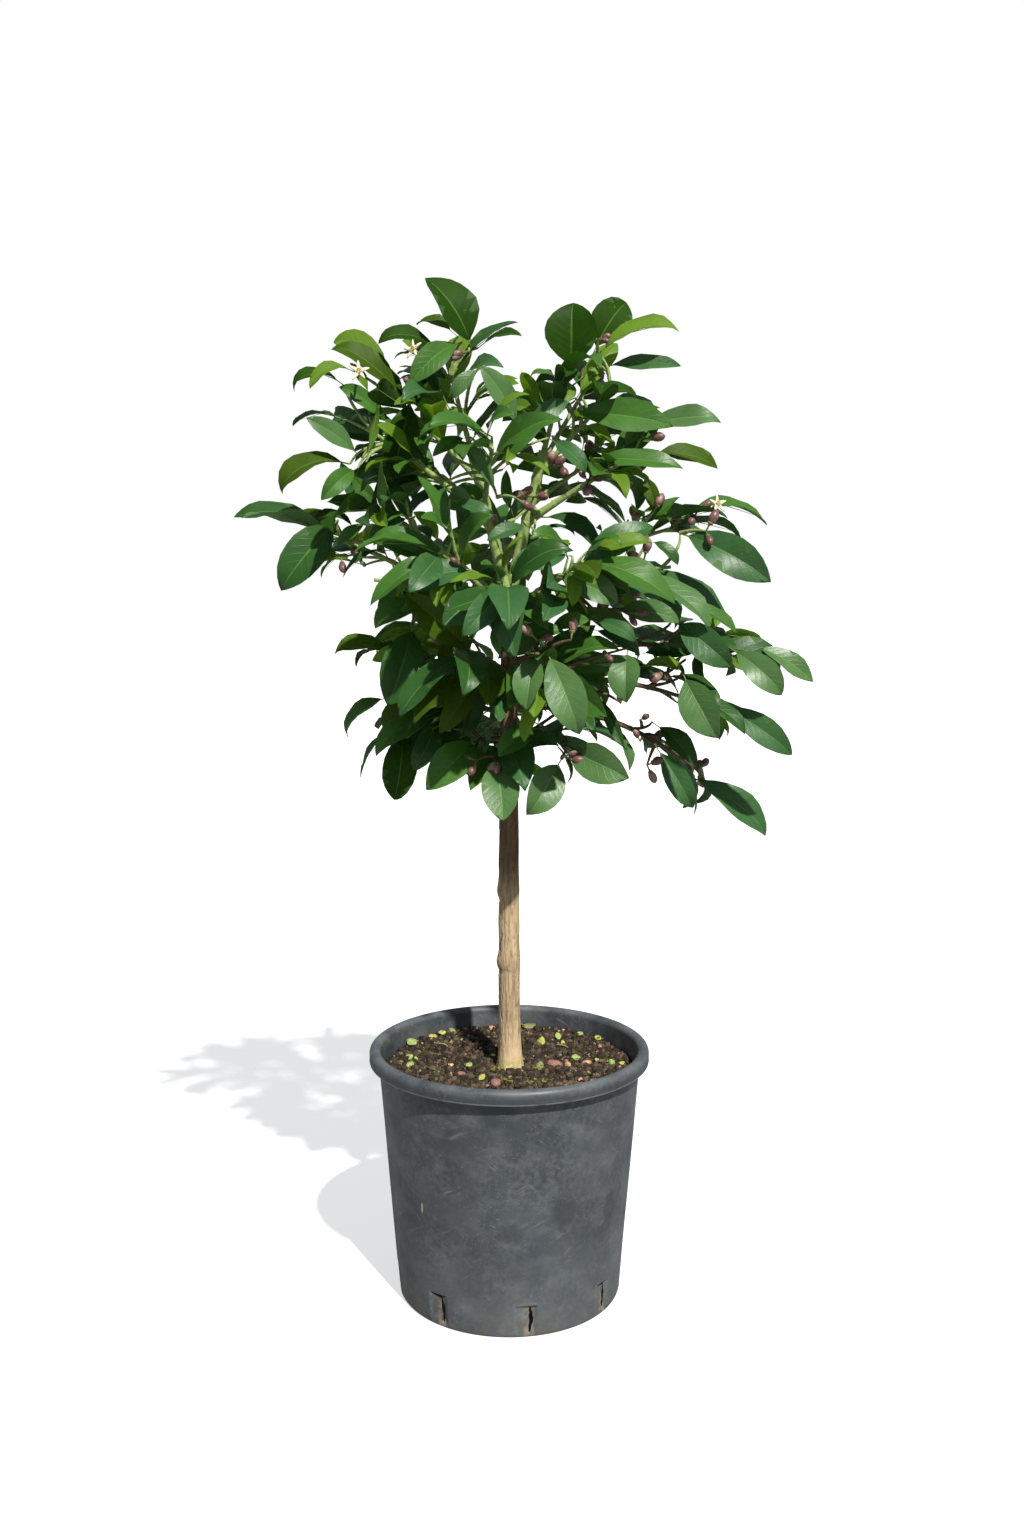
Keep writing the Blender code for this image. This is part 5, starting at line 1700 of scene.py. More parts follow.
def add_tube(shape, path, radii, sides, material):
    """A tapering tube with closed ends."""
    corners = []
    for number, (point, radius) in enumerate(zip(path, radii)):
        way = way_along(path, number)
        side = square_to(UP if abs(way.z) < 0.9 else Vector((1, 0, 0)), way)
        corners += [shape.verts.new(point + turned(side, way, turn) * radius) for turn in turns(sides)]
    faces = tube_faces(len(path), sides)
    add_faces(shape, corners, faces[:-2], material)
    add_faces(shape, corners, faces[-2:], material, is_smooth=False)


def add_lump(shape, transform, seed, squash, material):
    fresh = bmesh.ops.create_icosphere(shape, subdivisions=3, radius=1)["verts"]
    for corner in fresh:
        corner.co *= 1 + 0.30 * noise.noise(corner.co * 0.9 + UP * seed * 3)
        corner.co.z *= squash
        corner.co = transform @ corner.co
    for face in {face for corner in fresh for face in corner.link_faces}:
        face.material_index = material
        face.smooth = True


def build_finds():
    """Stones, fallen leaf scraps, straws and seedlings that lie or stand on the soil."""
    tones = {
        "red stone": ("stone_red_brown", (0.30, 0.150, 0.118)),
        "tan stone": ("stone_tan", (0.56, 0.30, 0.19)),
        "cream stone": ("stone_cream", (0.68, 0.52, 0.36)),
        "lime bit": ("scrap_lime", (0.33, 0.42, 0.12)),
        "yellow bit": ("scrap_yellow", (0.46, 0.46, 0.10)),
        "olive bit": ("scrap_olive", (0.25, 0.25, 0.11)),
        "straw": ("straw_dry", (0.42, 0.36, 0.17)),
        "dark straw": ("stick_dark", (0.10, 0.080, 0.060)),
        "seedling": ("seedling_green", (0.16, 0.27, 0.05)),
        "moss": ("moss_olive", (0.20, 0.22, 0.045)),
    }
    materials = [speckled_material(name, tone, 0.7, size=0.002) for name, tone in tones.values()]
    shape = bmesh.new()
    for number, (kind, across, down, size) in enumerate(FINDS):
        rng = random.Random(f"find {number}")
        spot, size, skin = on_soil(across, down), size / 1000, list(tones).index(kind)
        spin = Matrix.Rotation(rng.uniform(0, math.tau), 4, "Z")
        tilt = Matrix.Rotation(rng.uniform(-0.2, 0.2), 4, "X") @ Matrix.Rotation(rng.uniform(-0.3, 0.3), 4, "Y")
        if kind.endswith("stone"):
            scale = Matrix.Diagonal((size, size * 0.74, size, 1))
            add_lump(shape, Matrix.Translation(spot + UP * 0.0010) @ spin @ tilt @ scale, number, 0.62, skin)
        elif kind.endswith("bit"):
            scrap = small_leaf(size * 1.1, size * 0.80, size * 0.16, number)
            lean = Matrix.Rotation(rng.uniform(0.35, 0.95), 4, "X")
            add_to(shape, *scrap, Matrix.Translation(spot + UP * 0.0030) @ lean @ spin @ tilt, skin)
        elif kind == "straw":
            add_straw(shape, spot, size, rng.uniform(0, math.tau), 0.35, 1.0, skin)
        elif kind == "dark straw":
            add_straw(shape, spot, size, -0.9, 0.05, 2.2, skin)
        elif kind == "moss":
            add_moss(shape, spot, size, rng, skin)
        else:
            add_seedling(shape, spot, size, rng, skin)
    bmesh.ops.recalc_face_normals(shape, faces=shape.faces)
    return finished(bmesh_object("soil_litter", shape, materials), "soil")


def on_soil(across, down):
    """The place on the soil that is seen at a spot in the photograph."""
    ray = seen_at(across, down, 0) - CAMERA
    spot = CAMERA + ray * (SOIL_HEIGHT - CAMERA.z) / ray.z
    for _ in range(4):
        spot = CAMERA + ray * (soil_top(spot.x, spot.y) - CAMERA.z) / ray.z
    reach = min(1.0, 0.121 / math.hypot(spot.x, spot.y))
    return Vector((spot.x * reach, spot.y * reach, soil_top(spot.x * reach, spot.y * reach)))


def add_straw(shape, spot, size, turn, bend, thick, material):
    """A bowed straw or stick that lies on the soil."""
    way = turned(Vector((1, 0, 0)), UP, turn)
    bow = way.cross(UP) * size * bend
    path = [spot + way * size * s + bow * (1 - s * s) + UP * 0.0030 for s in (-1, -0.5, 0, 0.5, 1)]
    add_tube(shape, path, [radius * thick for radius in (0.0004, 0.0006, 0.0006, 0.0005, 0.0003)], 6, material)


def add_moss(shape, spot, size, rng, material):
    """A tuft of moss: small scraps that stand at all angles."""
    for number in range(16):
        off = turned(Vector((size * rng.uniform(0, 1) ** 0.6, 0, 0)), UP, rng.uniform(0, math.tau))
        top = Vector((spot.x + off.x, spot.y + off.y * 0.8, soil_top(spot.x + off.x, spot.y + off.y * 0.8)))
        points, faces = small_leaf(rng.uniform(0.0010, 0.0022), rng.uniform(0.0007, 0.0014), 0.0004, number)
        tilt = Matrix.Rotation(rng.uniform(-1.2, 1.2), 4, "X") @ Matrix.Rotation(rng.uniform(0, math.tau), 4, "Z")
        add_to(shape, points, faces, Matrix.Translation(top + UP * rng.uniform(0.0012, 0.0030)) @ tilt, material)


def add_seedling(shape, spot, size, rng, material):
    """A weed seedling: a few round leaves on short stalks."""
    for number in range(rng.choice((3, 4, 5))):
        turn = rng.uniform(0, math.tau)
        lean = round_at(turn) * size * rng.uniform(0.3, 0.9)
        top = spot + lean + UP * size * rng.uniform(0.8, 1.6)
        path = [spot - UP * 0.002, spot + lean * 0.4 + UP * size * 0.6, top]
        add_tube(shape, path, [0.0004, 0.00035, 0.0003], 5, material)
        points, faces = small_leaf(size * 0.55, size * 0.42, size * 0.10, number)
        tilt = Matrix.Rotation(rng.uniform(-0.5, 0.1), 4, "Y")
        transform = Matrix.Translation(top + lean * 0.3) @ Matrix.Rotation(turn, 4, "Z") @ tilt
        add_to(shape, points, faces, transform, material)


# Trunk


def bark(turn, height):
    """The trunk's radius at a bearing and height with its bark's relief, and how deep in a crack it lies."""
    round_the = round_at(turn) * 0.0105
    relief = plant_sizes().bark_relief
    fissure = noise.noise(Vector((round_the.x * 260, round_the.y * 260, height * 24)))
    second = noise.noise(Vector((round_the.x * 330, round_the.y * 330, height * 52 + 9)))
    crack = max(smooth(abs(fissure), 0.13, 0.0), 0.8 * smooth(abs(second), 0.07, 0.0))
    calm = 0.75 + 0.25 * smooth(height, 0.46, 0.40)
    calm *= smooth(height, SOIL_HEIGHT, SOIL_HEIGHT + 0.035)
    plates = noise.noise(Vector((round_the.x * 120, round_the.y * 120, height * 33))) * 0.55
    fibres = noise.noise(Vector((round_the.x * 900, round_the.y * 900, height * 120))) * 0.22
    bulge = sum(knot_bulge(turn, height - knot) for knot in KNOT_HEIGHTS)
    lobes = 0.0042 * math.exp(-(height - SOIL_HEIGHT) / 0.007) * (0.25 + noise.noise(round_the * 150))
    lobes += 0.0022 * math.cos(turn) * math.exp(-max(0.0, height - SOIL_HEIGHT) / 0.016)
    radius = trunk_radius(max(height, SOIL_HEIGHT)) + relief * (plates + fibres - crack * calm * 0.9) + bulge + lobes
    return radius, crack * calm


def knot_bulge(turn, off):
    """An old pruning scar: a swelling on the left with a step below it."""
    left = max(0.0, math.cos(turn - math.radians(188))) ** 1.5
    swelling = 0.0011 * math.exp(-((off / 0.0065) ** 2)) - 0.0009 * math.exp(-(((off + 0.010) / 0.0030) ** 2))
    return left * swelling - 0.0005 * max(0.0, math.cos(turn)) * math.exp(-((off / 0.010) ** 2))


def build_trunk():
    """The trunk with its bark's cracks, plates, knots and flared foot."""
    rows, columns = 430, 80
    points, cracks = [], []
    for row in range(rows + 1):
        height = mix(SOIL_HEIGHT - 0.006, TRUNK_TOP, row / rows)
        centre = trunk_centre(height)
        for turn in turns(columns):
            radius, crack = bark(turn, height)
            radius *= 1 - 0.35 * smooth(height, TRUNK_TOP - 0.006, TRUNK_TOP)
            points.append(centre + round_at(turn) * radius)
            cracks.append(crack)
    trunk = mesh_object("trunk_bark", points, tube_faces(rows + 1, columns), [trunk_material()])
    add_values(trunk.data, "crack", cracks)
    return finished(smoothed(trunk), "trunk", "trunk")


# Boughs and twigs


def tube_tree():
    """Draws round, tapering, slightly knobbly limbs along the edges of a mesh."""
    found = bpy.data.node_groups.get("Tapering limbs")
    if found:
        return found
    sockets = {"Geometry": "Geometry", "Sides": "Int", "Relief": "Float", "Relief size": "Float"}
    sockets["Material"] = "Material"
    tree, taken, end = new_tree("Tapering limbs", "Geometry", sockets)
    radius = named(tree, "radius")
    curve = flow_of(tree, "GeometryNodeMeshToCurve", {"Mesh": taken["Geometry"]})
    curve = flow_of(tree, "GeometryNodeSetCurveRadius", {"Curve": curve, "Radius": radius})
    ring = {"Resolution": taken["Sides"], "Radius": 1.0}
    ring = flow_of(tree, "GeometryNodeCurvePrimitiveCircle", ring, mode="RADIUS")
    inputs = {"Curve": curve, "Profile Curve": ring, "Scale": radius, "Fill Caps": True}
    tube = flow_of(tree, "GeometryNodeCurveToMesh", inputs)
    scale = flow_of(tree, "ShaderNodeMath", {0: 1.0, 1: taken["Relief size"]}, operation="DIVIDE")
    inputs = {"Vector": flow_of(tree, "GeometryNodeInputPosition"), "Scale": scale, "Detail": 2.0}
    lumps = flow_of(tree, "ShaderNodeTexNoise", inputs)
    offset = flow_of(tree, "GeometryNodeInputNormal") * ((lumps - 0.5) * taken["Relief"] * 2.0)
    tube = flow_of(tree, "GeometryNodeSetPosition", {"Geometry": tube, "Offset": offset})
    solid = flow_of(tree, "GeometryNodeRealizeInstances", {"Geometry": tube})
    solid = flow_of(tree, "GeometryNodeSetShadeSmooth", {0: solid})
    put(end, flow_of(tree, "GeometryNodeSetMaterial", {"Geometry": solid, "Material": taken["Material"]}))
    return tree


def flowing(points, per_step):
    """A smooth line through a path's points."""
    padded = [points[0] * 2 - points[1], *points, points[-1] * 2 - points[-2]]
    made = []
    for number in range(len(points) - 1):
        a, b, c, d = padded[number : number + 4]
        for step in range(per_step):
            s = step / per_step
            bend = (a * 2 - b * 5 + c * 4 - d) * (s * s / 2)
            made.append(b + (c - a) * (s / 2) + bend + (b * 3 - a - c * 3 + d) * (s**3 / 2))
    return [*made, points[-1]]


def knobbly_limb(points, radii, rng, collar=0.0, node_gap=0.017):
    """A path with leaf scars: small swellings and slight changes of direction, and a collar where it forks off."""
    path = flowing(points, 10)
    last = len(path) - 1
    run, made, sizes = 0.0, [], []
    next_node = node_gap * rng.uniform(0.5, 1.0)
    swell, drift = 0.0, Vector((0, 0, 0))
    for number, point in enumerate(path):
        if number:
            run += (point - path[number - 1]).length
        share = number / last * (len(radii) - 1)
        low = min(int(share), len(radii) - 2)
        radius = mix(radii[low], radii[low + 1], share - low)
        swell *= 0.45
        if run > next_node and 0 < number < last:
            next_node = run + node_gap * rng.uniform(0.75, 1.25)
            swell = 0.16
            drift = Vector([rng.uniform(-1, 1) for _ in range(3)]) * radius * 0.10
        radius *= 1 + swell + collar * math.exp(-run / 0.006)
        made.append(point + drift)
        sizes.append(radius)
        drift = drift * 0.7
    made[0] = path[0]
    return made, sizes


def bark_pieces(kind, slot, relief, green, brown):
    """One piece of green limbs and one of brown ones, each from (nodes, paths with radii, tone, roughness, sides)."""
    for bark_name, (nodes, limbs, tone, roughness, sides) in (("green", green), ("brown", brown)):
        points, edges, radii = [], [], []
        for path, sizes in limbs:
            edges += [(len(points) + n, len(points) + n + 1) for n in range(len(path) - 1)]
            points += path
            radii += sizes
        lines = mesh_object(f"{kind}s_{bark_name}", points, [], edges=edges)
        add_values(lines.data, "radius", radii)
        material = bark_material(f"{bark_name}_{kind}_bark", tone, roughness)
        values = {"Sides": sides, "Relief": relief, "Relief size": 0.005, "Material": material}
        finished(smoothed(facing_out(grown_by(lines, tube_tree(), values))), slot, *nodes)


def is_green(name):
    """Whether a shoot is young enough for green bark: all but the lower ones."""
    shoot = SHOOTS.get(name)
    return shoot is None or shoot.parent != "trunk" or shoot.fork > 0.655


def build_boughs(crown):
    """The two leaders and all boughs, green above and brown low in the crown."""
    green, brown = ([], []), ([], [])
    for name, (points, radii) in crown.limbs.items():
        if name == "trunk":
            continue
        kept = green if is_green(name.removeprefix("bough_")) else brown
        kept[0].append(name)
        kept[1].append(knobbly_limb(points, radii, random.Random(f"limb {name}"), collar=0.55))
    tones = colours()
    bark_pieces(
        "bough", "boughs", 0.00022, (*green, tones.green_bark, 0.55, 14), (*brown, tones.brown_bark, 0.8, 12)
    )


def build_twigs(crown):
    """Every mass's stem, side twigs and finer twigs, green above and brown low in the crown."""
    green, brown = ([], []), ([], [])
    for name, (stem, radii) in crown.stems.items():
        rng = random.Random(f"twigs {name}")
        nodes, limbs = green if is_green(name) else brown
        nodes.append("foliage_" + name)
        joined_to = stem[0] - (stem[1] - stem[0]).normalized() * 0.0012
        limbs.append(knobbly_limb([joined_to, *stem[1:]], radii, rng, node_gap=0.014))
        for path in crown.twigs[name]:
            limbs.append(knobbly_limb(path, [TWIG_RADIUS, TWIG_TIP_RADIUS], rng, collar=0.3, node_gap=0.010))
        for path in crown.fine_twigs[name]:
            thick = 0.0016 if len(path) > 3 else 0.0012
            limbs.append(knobbly_limb(path, [thick, thick * 0.9, 0.0009], rng, collar=0.3, node_gap=0.009))
    tones = (shade(colours().green_bark, 0.9), shade(colours().brown_bark, 0.8))
    bark_pieces("twig", "foliage", 0.00010, (*green, tones[0], 0.5, 8), (*brown, tones[1], 0.75, 8))


# Leaves


LEAF_UPPER, LEAF_UNDER, LEAF_STEM = range(3)
# Half width of the blade along its length, as a share of its greatest: a rounded blade with a short drawn-out point
BLADE_OUTLINE = ((0, 0.05), (0.06, 0.24), (0.15, 0.52), (0.27, 0.80), (0.41, 0.98), (0.54, 1.0), (0.67, 0.91))
BLADE_TIP = ((0.79, 0.70), (0.885, 0.44), (0.95, 0.21))
# Columns across the blade, from edge to edge
BLADE_COLUMNS = (-1, -0.52, 0, 0.52, 1)
# Radius of the stalk and the midrib's ridge along the leaf, in metres: -1 is the stalk's root, 0 the blade's foot
STALK_OUTLINE = ((-1.0, 0.00105), (-0.4, 0.00085), (0.02, 0.00095), (0.30, 0.00055), (0.75, 0.0002))


def unit_leaf():
    """One leaf to be bent: a thin closed blade and a stalk. Each corner has its share across and along the blade as
    its shape, and its own offset in metres as its skin."""
    thick = plant_sizes().leaf_thickness / 2
    shape, skin, uvs = [], [], []
    faces, parts = [], []

    def corner(across, along, half, lift, side=0.0):
        shape.append((across * half, along, 0.0))
        skin.append((side, lift, 0.0))
        uvs.append((0.5 + 0.5 * across, max(0.0, along)))
        return len(shape) - 1

    upper, under = [], []
    for along, half in BLADE_OUTLINE + BLADE_TIP:
        top = [corner(u, along, half, thick * (1 - abs(u))) for u in BLADE_COLUMNS]
        upper.append(top)
        under.append([top[0], corner(0, along, half, -thick), top[-1]])
    tip = corner(0, 1.0, 0, 0)
    for rows, part in ((upper, LEAF_UPPER), (under, LEAF_UNDER)):
        for low, high in zip(rows, rows[1:]):
            faces += [(low[n], low[n + 1], high[n + 1], high[n])[:: 1 - 2 * part] for n in range(len(low) - 1)]
        faces += [(rows[-1][n], rows[-1][n + 1], tip)[:: 1 - 2 * part] for n in range(len(rows[-1]) - 1)]
        parts += [part] * (len(faces) - len(parts))
    faces.append((*upper[0][::-1], under[0][1]))
    stalk = len(shape)
    for along, radius in STALK_OUTLINE:
        drop = -thick * (1.3 if along > -0.5 else 0)
        for turn in turns(4):
            corner(0, along, 0, drop + radius * math.sin(turn), radius * math.cos(turn))
    faces += [(a, a + 4, b + 4, b) for a, b in ring_pairs(len(STALK_OUTLINE) - 1, 4, stalk)]
    faces += [range(stalk, stalk + 4), range(len(shape) - 4, len(shape))[::-1]]
    parts += [LEAF_STEM] * (len(faces) - len(parts))
    leaf = mesh_object("unit_leaf", shape, faces)
    add_values(leaf.data, "shape", shape)
    add_values(leaf.data, "skin", skin)
    leaf.data.attributes.new("part", "INT", "FACE").data.foreach_set("value", parts)
    layer = leaf.data.uv_layers.new(name="UVMap")
    for loop in leaf.data.loops:
        layer.data[loop.index].uv = uvs[loop.vertex_index]
    crisp = {row[n] for row in upper for n in (0, 2, 4)} | {tip}
    for edge in leaf.data.edges:
        low, high = (shape[number] for number in edge.vertices)
        same_side = low[1] != high[1] and (low[0] * high[0] > 0 or low[0] == high[0])
        edge.use_edge_sharp = same_side and all(number in crisp for number in edge.vertices)
    return leaf


def leaf_tree(materials):
    """Sets the unit leaf at every point and bends it: arched along its spine, folded along its midrib, with waved
    margins, a slight twist and a curled tip, each by the point's own numbers."""
    sockets = {"Geometry": "Geometry", "Leaf": "Object", "Stalk": "Float", "Width": "Float", "Wave": "Float"}
    tree, taken, end = new_tree("Bent leaves", "Geometry", sockets)
    leaf = node(tree, "GeometryNodeObjectInfo", {"Object": taken["Leaf"]}).outputs["Geometry"]
    placed = flow_of(tree, "GeometryNodeInstanceOnPoints", {"Points": taken["Geometry"], "Instance": leaf})
    solid = flow_of(tree, "GeometryNodeRealizeInstances", {"Geometry": placed})
    across, along_share, _ = parts_of(named(tree, "shape", "FLOAT_VECTOR"))
    skin_side, skin_lift, _ = parts_of(named(tree, "skin", "FLOAT_VECTOR"))
    root, along, face = (named(tree, name, "FLOAT_VECTOR") for name in ("root", "along", "face"))
    length, bend, fold, twist, phase, curl, breadth = (
        named(tree, name) for name in ("length", "bend", "fold", "twist", "phase", "curl", "breadth")
    )
    share = along_share.at_least(0.0)
    angle = bend * share
    radius = length / bend
    forward = (along_share.calc("MINIMUM", 0.0) + 1.0) * taken["Stalk"] + radius * angle.sin()
    spine = root + along * forward + face * (radius * (angle.cos() - 1.0))
    side = along.calc("CROSS_PRODUCT", face)
    up = face * angle.cos() + along * angle.sin()
    turn = twist * share
    side_turned = side * turn.cos() + up * turn.sin()
    up_turned = up * turn.cos() - side * turn.sin()
    half = length * breadth * taken["Width"] * 0.5
    grown = length / 0.09
    out = across * half * fold.cos() + skin_side * grown
    valley = across.size() - across * across * 0.30
    ripple = (share * 9.5 + phase + across * 1.6).sin() * across.size().power(1.6) * taken["Wave"] * grown
    flick = (share - 0.7).at_least(0.0).power(2.0) * curl * length
    lift = valley * half * fold.sin() + ripple + flick + skin_lift * grown
    bent = spine + side_turned * out + up_turned * lift
    moved = flow_of(tree, "GeometryNodeSetPosition", {"Geometry": solid, "Position": bent})
    put(end, painted(tree, flow_of(tree, "GeometryNodeSetShadeSmooth", {0: moved}), materials))
    return tree


# Tones of leaf, dealt out by spray: the share of each for a mass at the top of the crown and at its foot
LEAF_TONES = ("deep", "grown", "bluish", "young", "olive", "mossy", "pale")
TONE_SHARES = {
    "deep": (0.14, 0.34),
    "grown": (0.26, 0.34),
    "bluish": (0.10, 0.20),
    "young": (0.12, 0.02),
    "olive": (0.14, 0.05),
    # The next tone is painted shade, a very dark olive copy of the leaf, dealt mostly at the top of the crown.
    "mossy": (0.18, 0.02),
    "pale": (0.06, 0.10),
}


def leaf_materials():
    """(material, {attribute: value}) for each tone and part of a leaf."""
    tones = colours()
    blades = {
        "deep": (tones.deep_leaf, (0.16, 0.34, 0.02), 0.24, 0.38, 0.36),
        "grown": (tones.leaf, (0.22, 0.46, 0.03), 0.30, 0.38, 0.36),
        "bluish": ((0.048, 0.145, 0.042), (0.20, 0.42, 0.05), 0.26, 0.40, 0.42),
        "young": (tones.young_leaf, (0.55, 0.78, 0.06), 0.42, 0.44, 0.28),
        "olive": ((0.062, 0.120, 0.008), (0.34, 0.50, 0.02), 0.34, 0.50, 0.16),
        # The next tone is painted shade: a very dark olive copy of the leaf for leaves that face away from the light.
        "mossy": ((0.022, 0.072, 0.003), (0.20, 0.36, 0.01), 0.26, 0.54, 0.12),
        "pale": ((0.092, 0.200, 0.060), (0.26, 0.46, 0.08), 0.22, 0.38, 0.46),
    }
    made = []
    for number, tone in enumerate(LEAF_TONES):
        base, glow, share, roughness, specular = blades[tone]
        upper = leaf_material(f"leaf_{tone}", base, glow, share, roughness, specular=specular)
        made.append((upper, {"tone": number, "part": LEAF_UPPER}))
        under = tuple(mix(a, b, 0.45) for a, b in zip(tones.underside, shade(base, 1.5)))
        material = leaf_material(f"leaf_{tone}_under", under, glow, share + 0.12, 0.58, veins=0.22, specular=0.35)
        made.append((material, {"tone": number, "part": LEAF_UNDER}))
    stalk = speckled_material("leaf_stalk", (0.20, 0.31, 0.07), 0.5, spread=0.15)
    made.append((stalk, {"part": LEAF_STEM}))
    return made


def tone_of(name, young, rng):
    """The tone of one leaf, by its mass's height, with neighbours alike."""
    high = max(0.0, min(1.0, (SHOOTS[name].tip[2] - 0.52) / 0.42))
    if young:
        return LEAF_TONES.index("young") if rng.random() < 0.3 + 0.6 * high else LEAF_TONES.index("grown")
    weights = [mix(TONE_SHARES[tone][1], TONE_SHARES[tone][0], high) for tone in LEAF_TONES]
    return rng.choices(range(len(LEAF_TONES)), weights)[0]


def build_leaves(crown):
    """All leaves, joined by the part of the crown that they grow in."""
    leaf = unit_leaf()
    tree = leaf_tree(leaf_materials())
    sizes = {"Leaf": leaf, "Stalk": LEAF_STALK, "Width": LEAF_WIDTH * 0.96, "Wave": plant_sizes().leaf_wave}
    labels = "root along face length bend fold breadth tone twist phase curl".split()
    for part, starts in CROWN_PARTS.items():
        masses = [name for name in SHOOTS if name.startswith(starts)]
        rows = []
        for name in masses:
            rng = random.Random(f"look {name}")
            tones = [tone_of(name, False, rng) for _ in range(3)]
            for number, grown in enumerate(crown.leaves[name] + crown.fine_leaves[name]):
                young = number >= len(crown.leaves[name])
                tone = tone_of(name, True, rng) if young else rng.choice(tones)
                tone = LEAF_TONES.index(grown.tone) if grown.tone else tone
                twist, phase, curl = rng.uniform(-0.5, 0.5), rng.uniform(0, math.tau), rng.uniform(-1.6, 0.4)
                breadth = grown.breadth * (1 if grown.tone else rng.uniform(0.80, 1.02))
                bent = (float(grown.length), float(grown.bend), grown.fold * 1.3, breadth)
                rows.append((grown.root, grown.along, grown.face, *bent, tone, twist, phase, curl))
        values = dict(zip(labels, zip(*rows)))
        source = points_with("leaves_" + part, values["root"], **values)
        finished(grown_by(source, tree, sizes, keep_uv=True), "foliage", *["foliage_" + name for name in masses])
    bpy.data.objects.remove(leaf)


# Buds and flowers


BUD_PLUMP, BUD_CUP = range(2)


def unit_bud():
    """A flower bud along +Z, about 2 units long, in a small cup on a short stalk."""
    cup = ((-2.3, 0.15), (-1.4, 0.16), (-1.05, 0.26), (-0.92, 0.48), (-0.70, 0.54), (-0.66, 0.48))
    plump = ((-0.72, 0.42), (-0.35, 0.66), (0.20, 0.79), (0.75, 0.76), (1.25, 0.54), (1.60, 0.20))
    shape = bmesh.new()
    sides = 10
    parts = []
    for profile, part, ridge in ((cup, BUD_CUP, 0), (plump, BUD_PLUMP, 0.05)):
        corners = []
        for height, radius in profile:
            ring = [round_at(turn, radius * (1 + ridge * math.cos(5 * turn)), height) for turn in turns(sides)]
            corners += [shape.verts.new(corner) for corner in ring]
        faces = tube_faces(len(profile), sides)
        add_faces(shape, corners, faces, 0)
        parts += [part] * len(faces)
    bud = bmesh_object("unit_bud", shape)
    bud.data.attributes.new("part", "INT", "FACE").data.foreach_set("value", parts)
    return bud


def bud_tree(materials):
    """Sets the unit bud at every point, turned along the point's direction and scaled to its size."""
    sockets = {"Geometry": "Geometry", "Bud": "Object", "Size": "Float"}
    tree, taken, end = new_tree("Buds on stalks", "Geometry", sockets)
    bud = node(tree, "GeometryNodeObjectInfo", {"Object": taken["Bud"]}).outputs["Geometry"]
    along = named(tree, "along", "FLOAT_VECTOR")
    aim = flow_of(tree, "FunctionNodeAlignRotationToVector", {"Vector": along}, axis="Z")
    size = named(tree, "size") * taken["Size"]
    inputs = {"Points": taken["Geometry"], "Instance": bud, "Rotation": aim, "Scale": size}
    placed = flow_of(tree, "GeometryNodeInstanceOnPoints", inputs)
    solid = flow_of(tree, "GeometryNodeRealizeInstances", {"Geometry": placed})
    put(end, painted(tree, flow_of(tree, "GeometryNodeSetShadeSmooth", {0: solid}), materials))
    return tree


def build_buds(crown):
    """Clusters of buds on short stalks in the leaf axils and at the shoots' tips, and a few open flowers."""
    rng = random.Random("buds")
    points, ways, sizes = [], [], []
    radius = plant_sizes().bud_size
    for spot, way, count in crown.buds:
        for _ in range(count):
            side = turned(square_to(UP, way), way, rng.uniform(0, math.tau))
            lean = (way * rng.uniform(0.1, 1.0) + side * rng.uniform(0.7, 1.2) + UP * 0.3).normalized()
            size = rng.uniform(0.72, 1.18)
            points.append(spot + lean * (2.3 * radius * size - 0.0002))
            ways.append(lean)
            sizes.append(size)
    bud = unit_bud()
    flesh = bud_material()
    cup = speckled_material("bud_cup_green", (0.19, 0.20, 0.07), 0.6, spread=0.25)
    tree = bud_tree([(flesh, {"part": BUD_PLUMP}), (cup, {"part": BUD_CUP})])
    source = points_with("flower_buds", points, along=ways, size=sizes)
    made = grown_by(source, tree, {"Bud": bud, "Size": radius})
    bpy.data.objects.remove(bud)
    finished(made, "foliage")
    build_flowers(crown.flowers)


def build_flowers(places):
    """Open flowers: five thick, bent-back petals round a ring of filaments with yellow anthers."""
    tones = colours()
    petal = speckled_material("petal_cream", tones.petal, 0.5, spread=0.06)
    heart = speckled_material("flower_heart", (0.72, 0.66, 0.42), 0.6, spread=0.1)
    anther = speckled_material("anther_yellow", (0.75, 0.48, 0.06), 0.6, spread=0.1)
    size = plant_sizes().flower_size
    shape = bmesh.new()
    for number, (spot, way) in enumerate(places):
        rng = random.Random(f"flower {number}")
        side = square_to(UP, way)
        lean = (way * 0.7 + UP * 0.5 - Vector((0, 0.6, 0))).normalized()
        side = square_to(side, lean)
        base = spot + lean * 0.006
        add_tube(shape, [spot, base], [0.0009, 0.0014], 6, 1)
        for petals in range(5):
            out = turned(side, lean, math.tau * petals / 5 + rng.uniform(-0.15, 0.15))
            add_petal(shape, base, lean, out, size * rng.uniform(0.85, 1.05))
        for strand in range(9):
            out = turned(side, lean, math.tau * strand / 9)
            top = base + lean * size * 0.42 + out * size * 0.16
            add_tube(shape, [base, base + lean * size * 0.2 + out * size * 0.12, top], [0.0005, 0.00045, 0.0003], 5, 1)
            add_tube(shape, [top - lean * 0.0003, top + lean * 0.0011], [0.00055, 0.0004], 5, 2)
    bmesh.ops.recalc_face_normals(shape, faces=shape.faces)
    return finished(bmesh_object("open_flowers", shape, [petal, heart, anther]), "foliage")


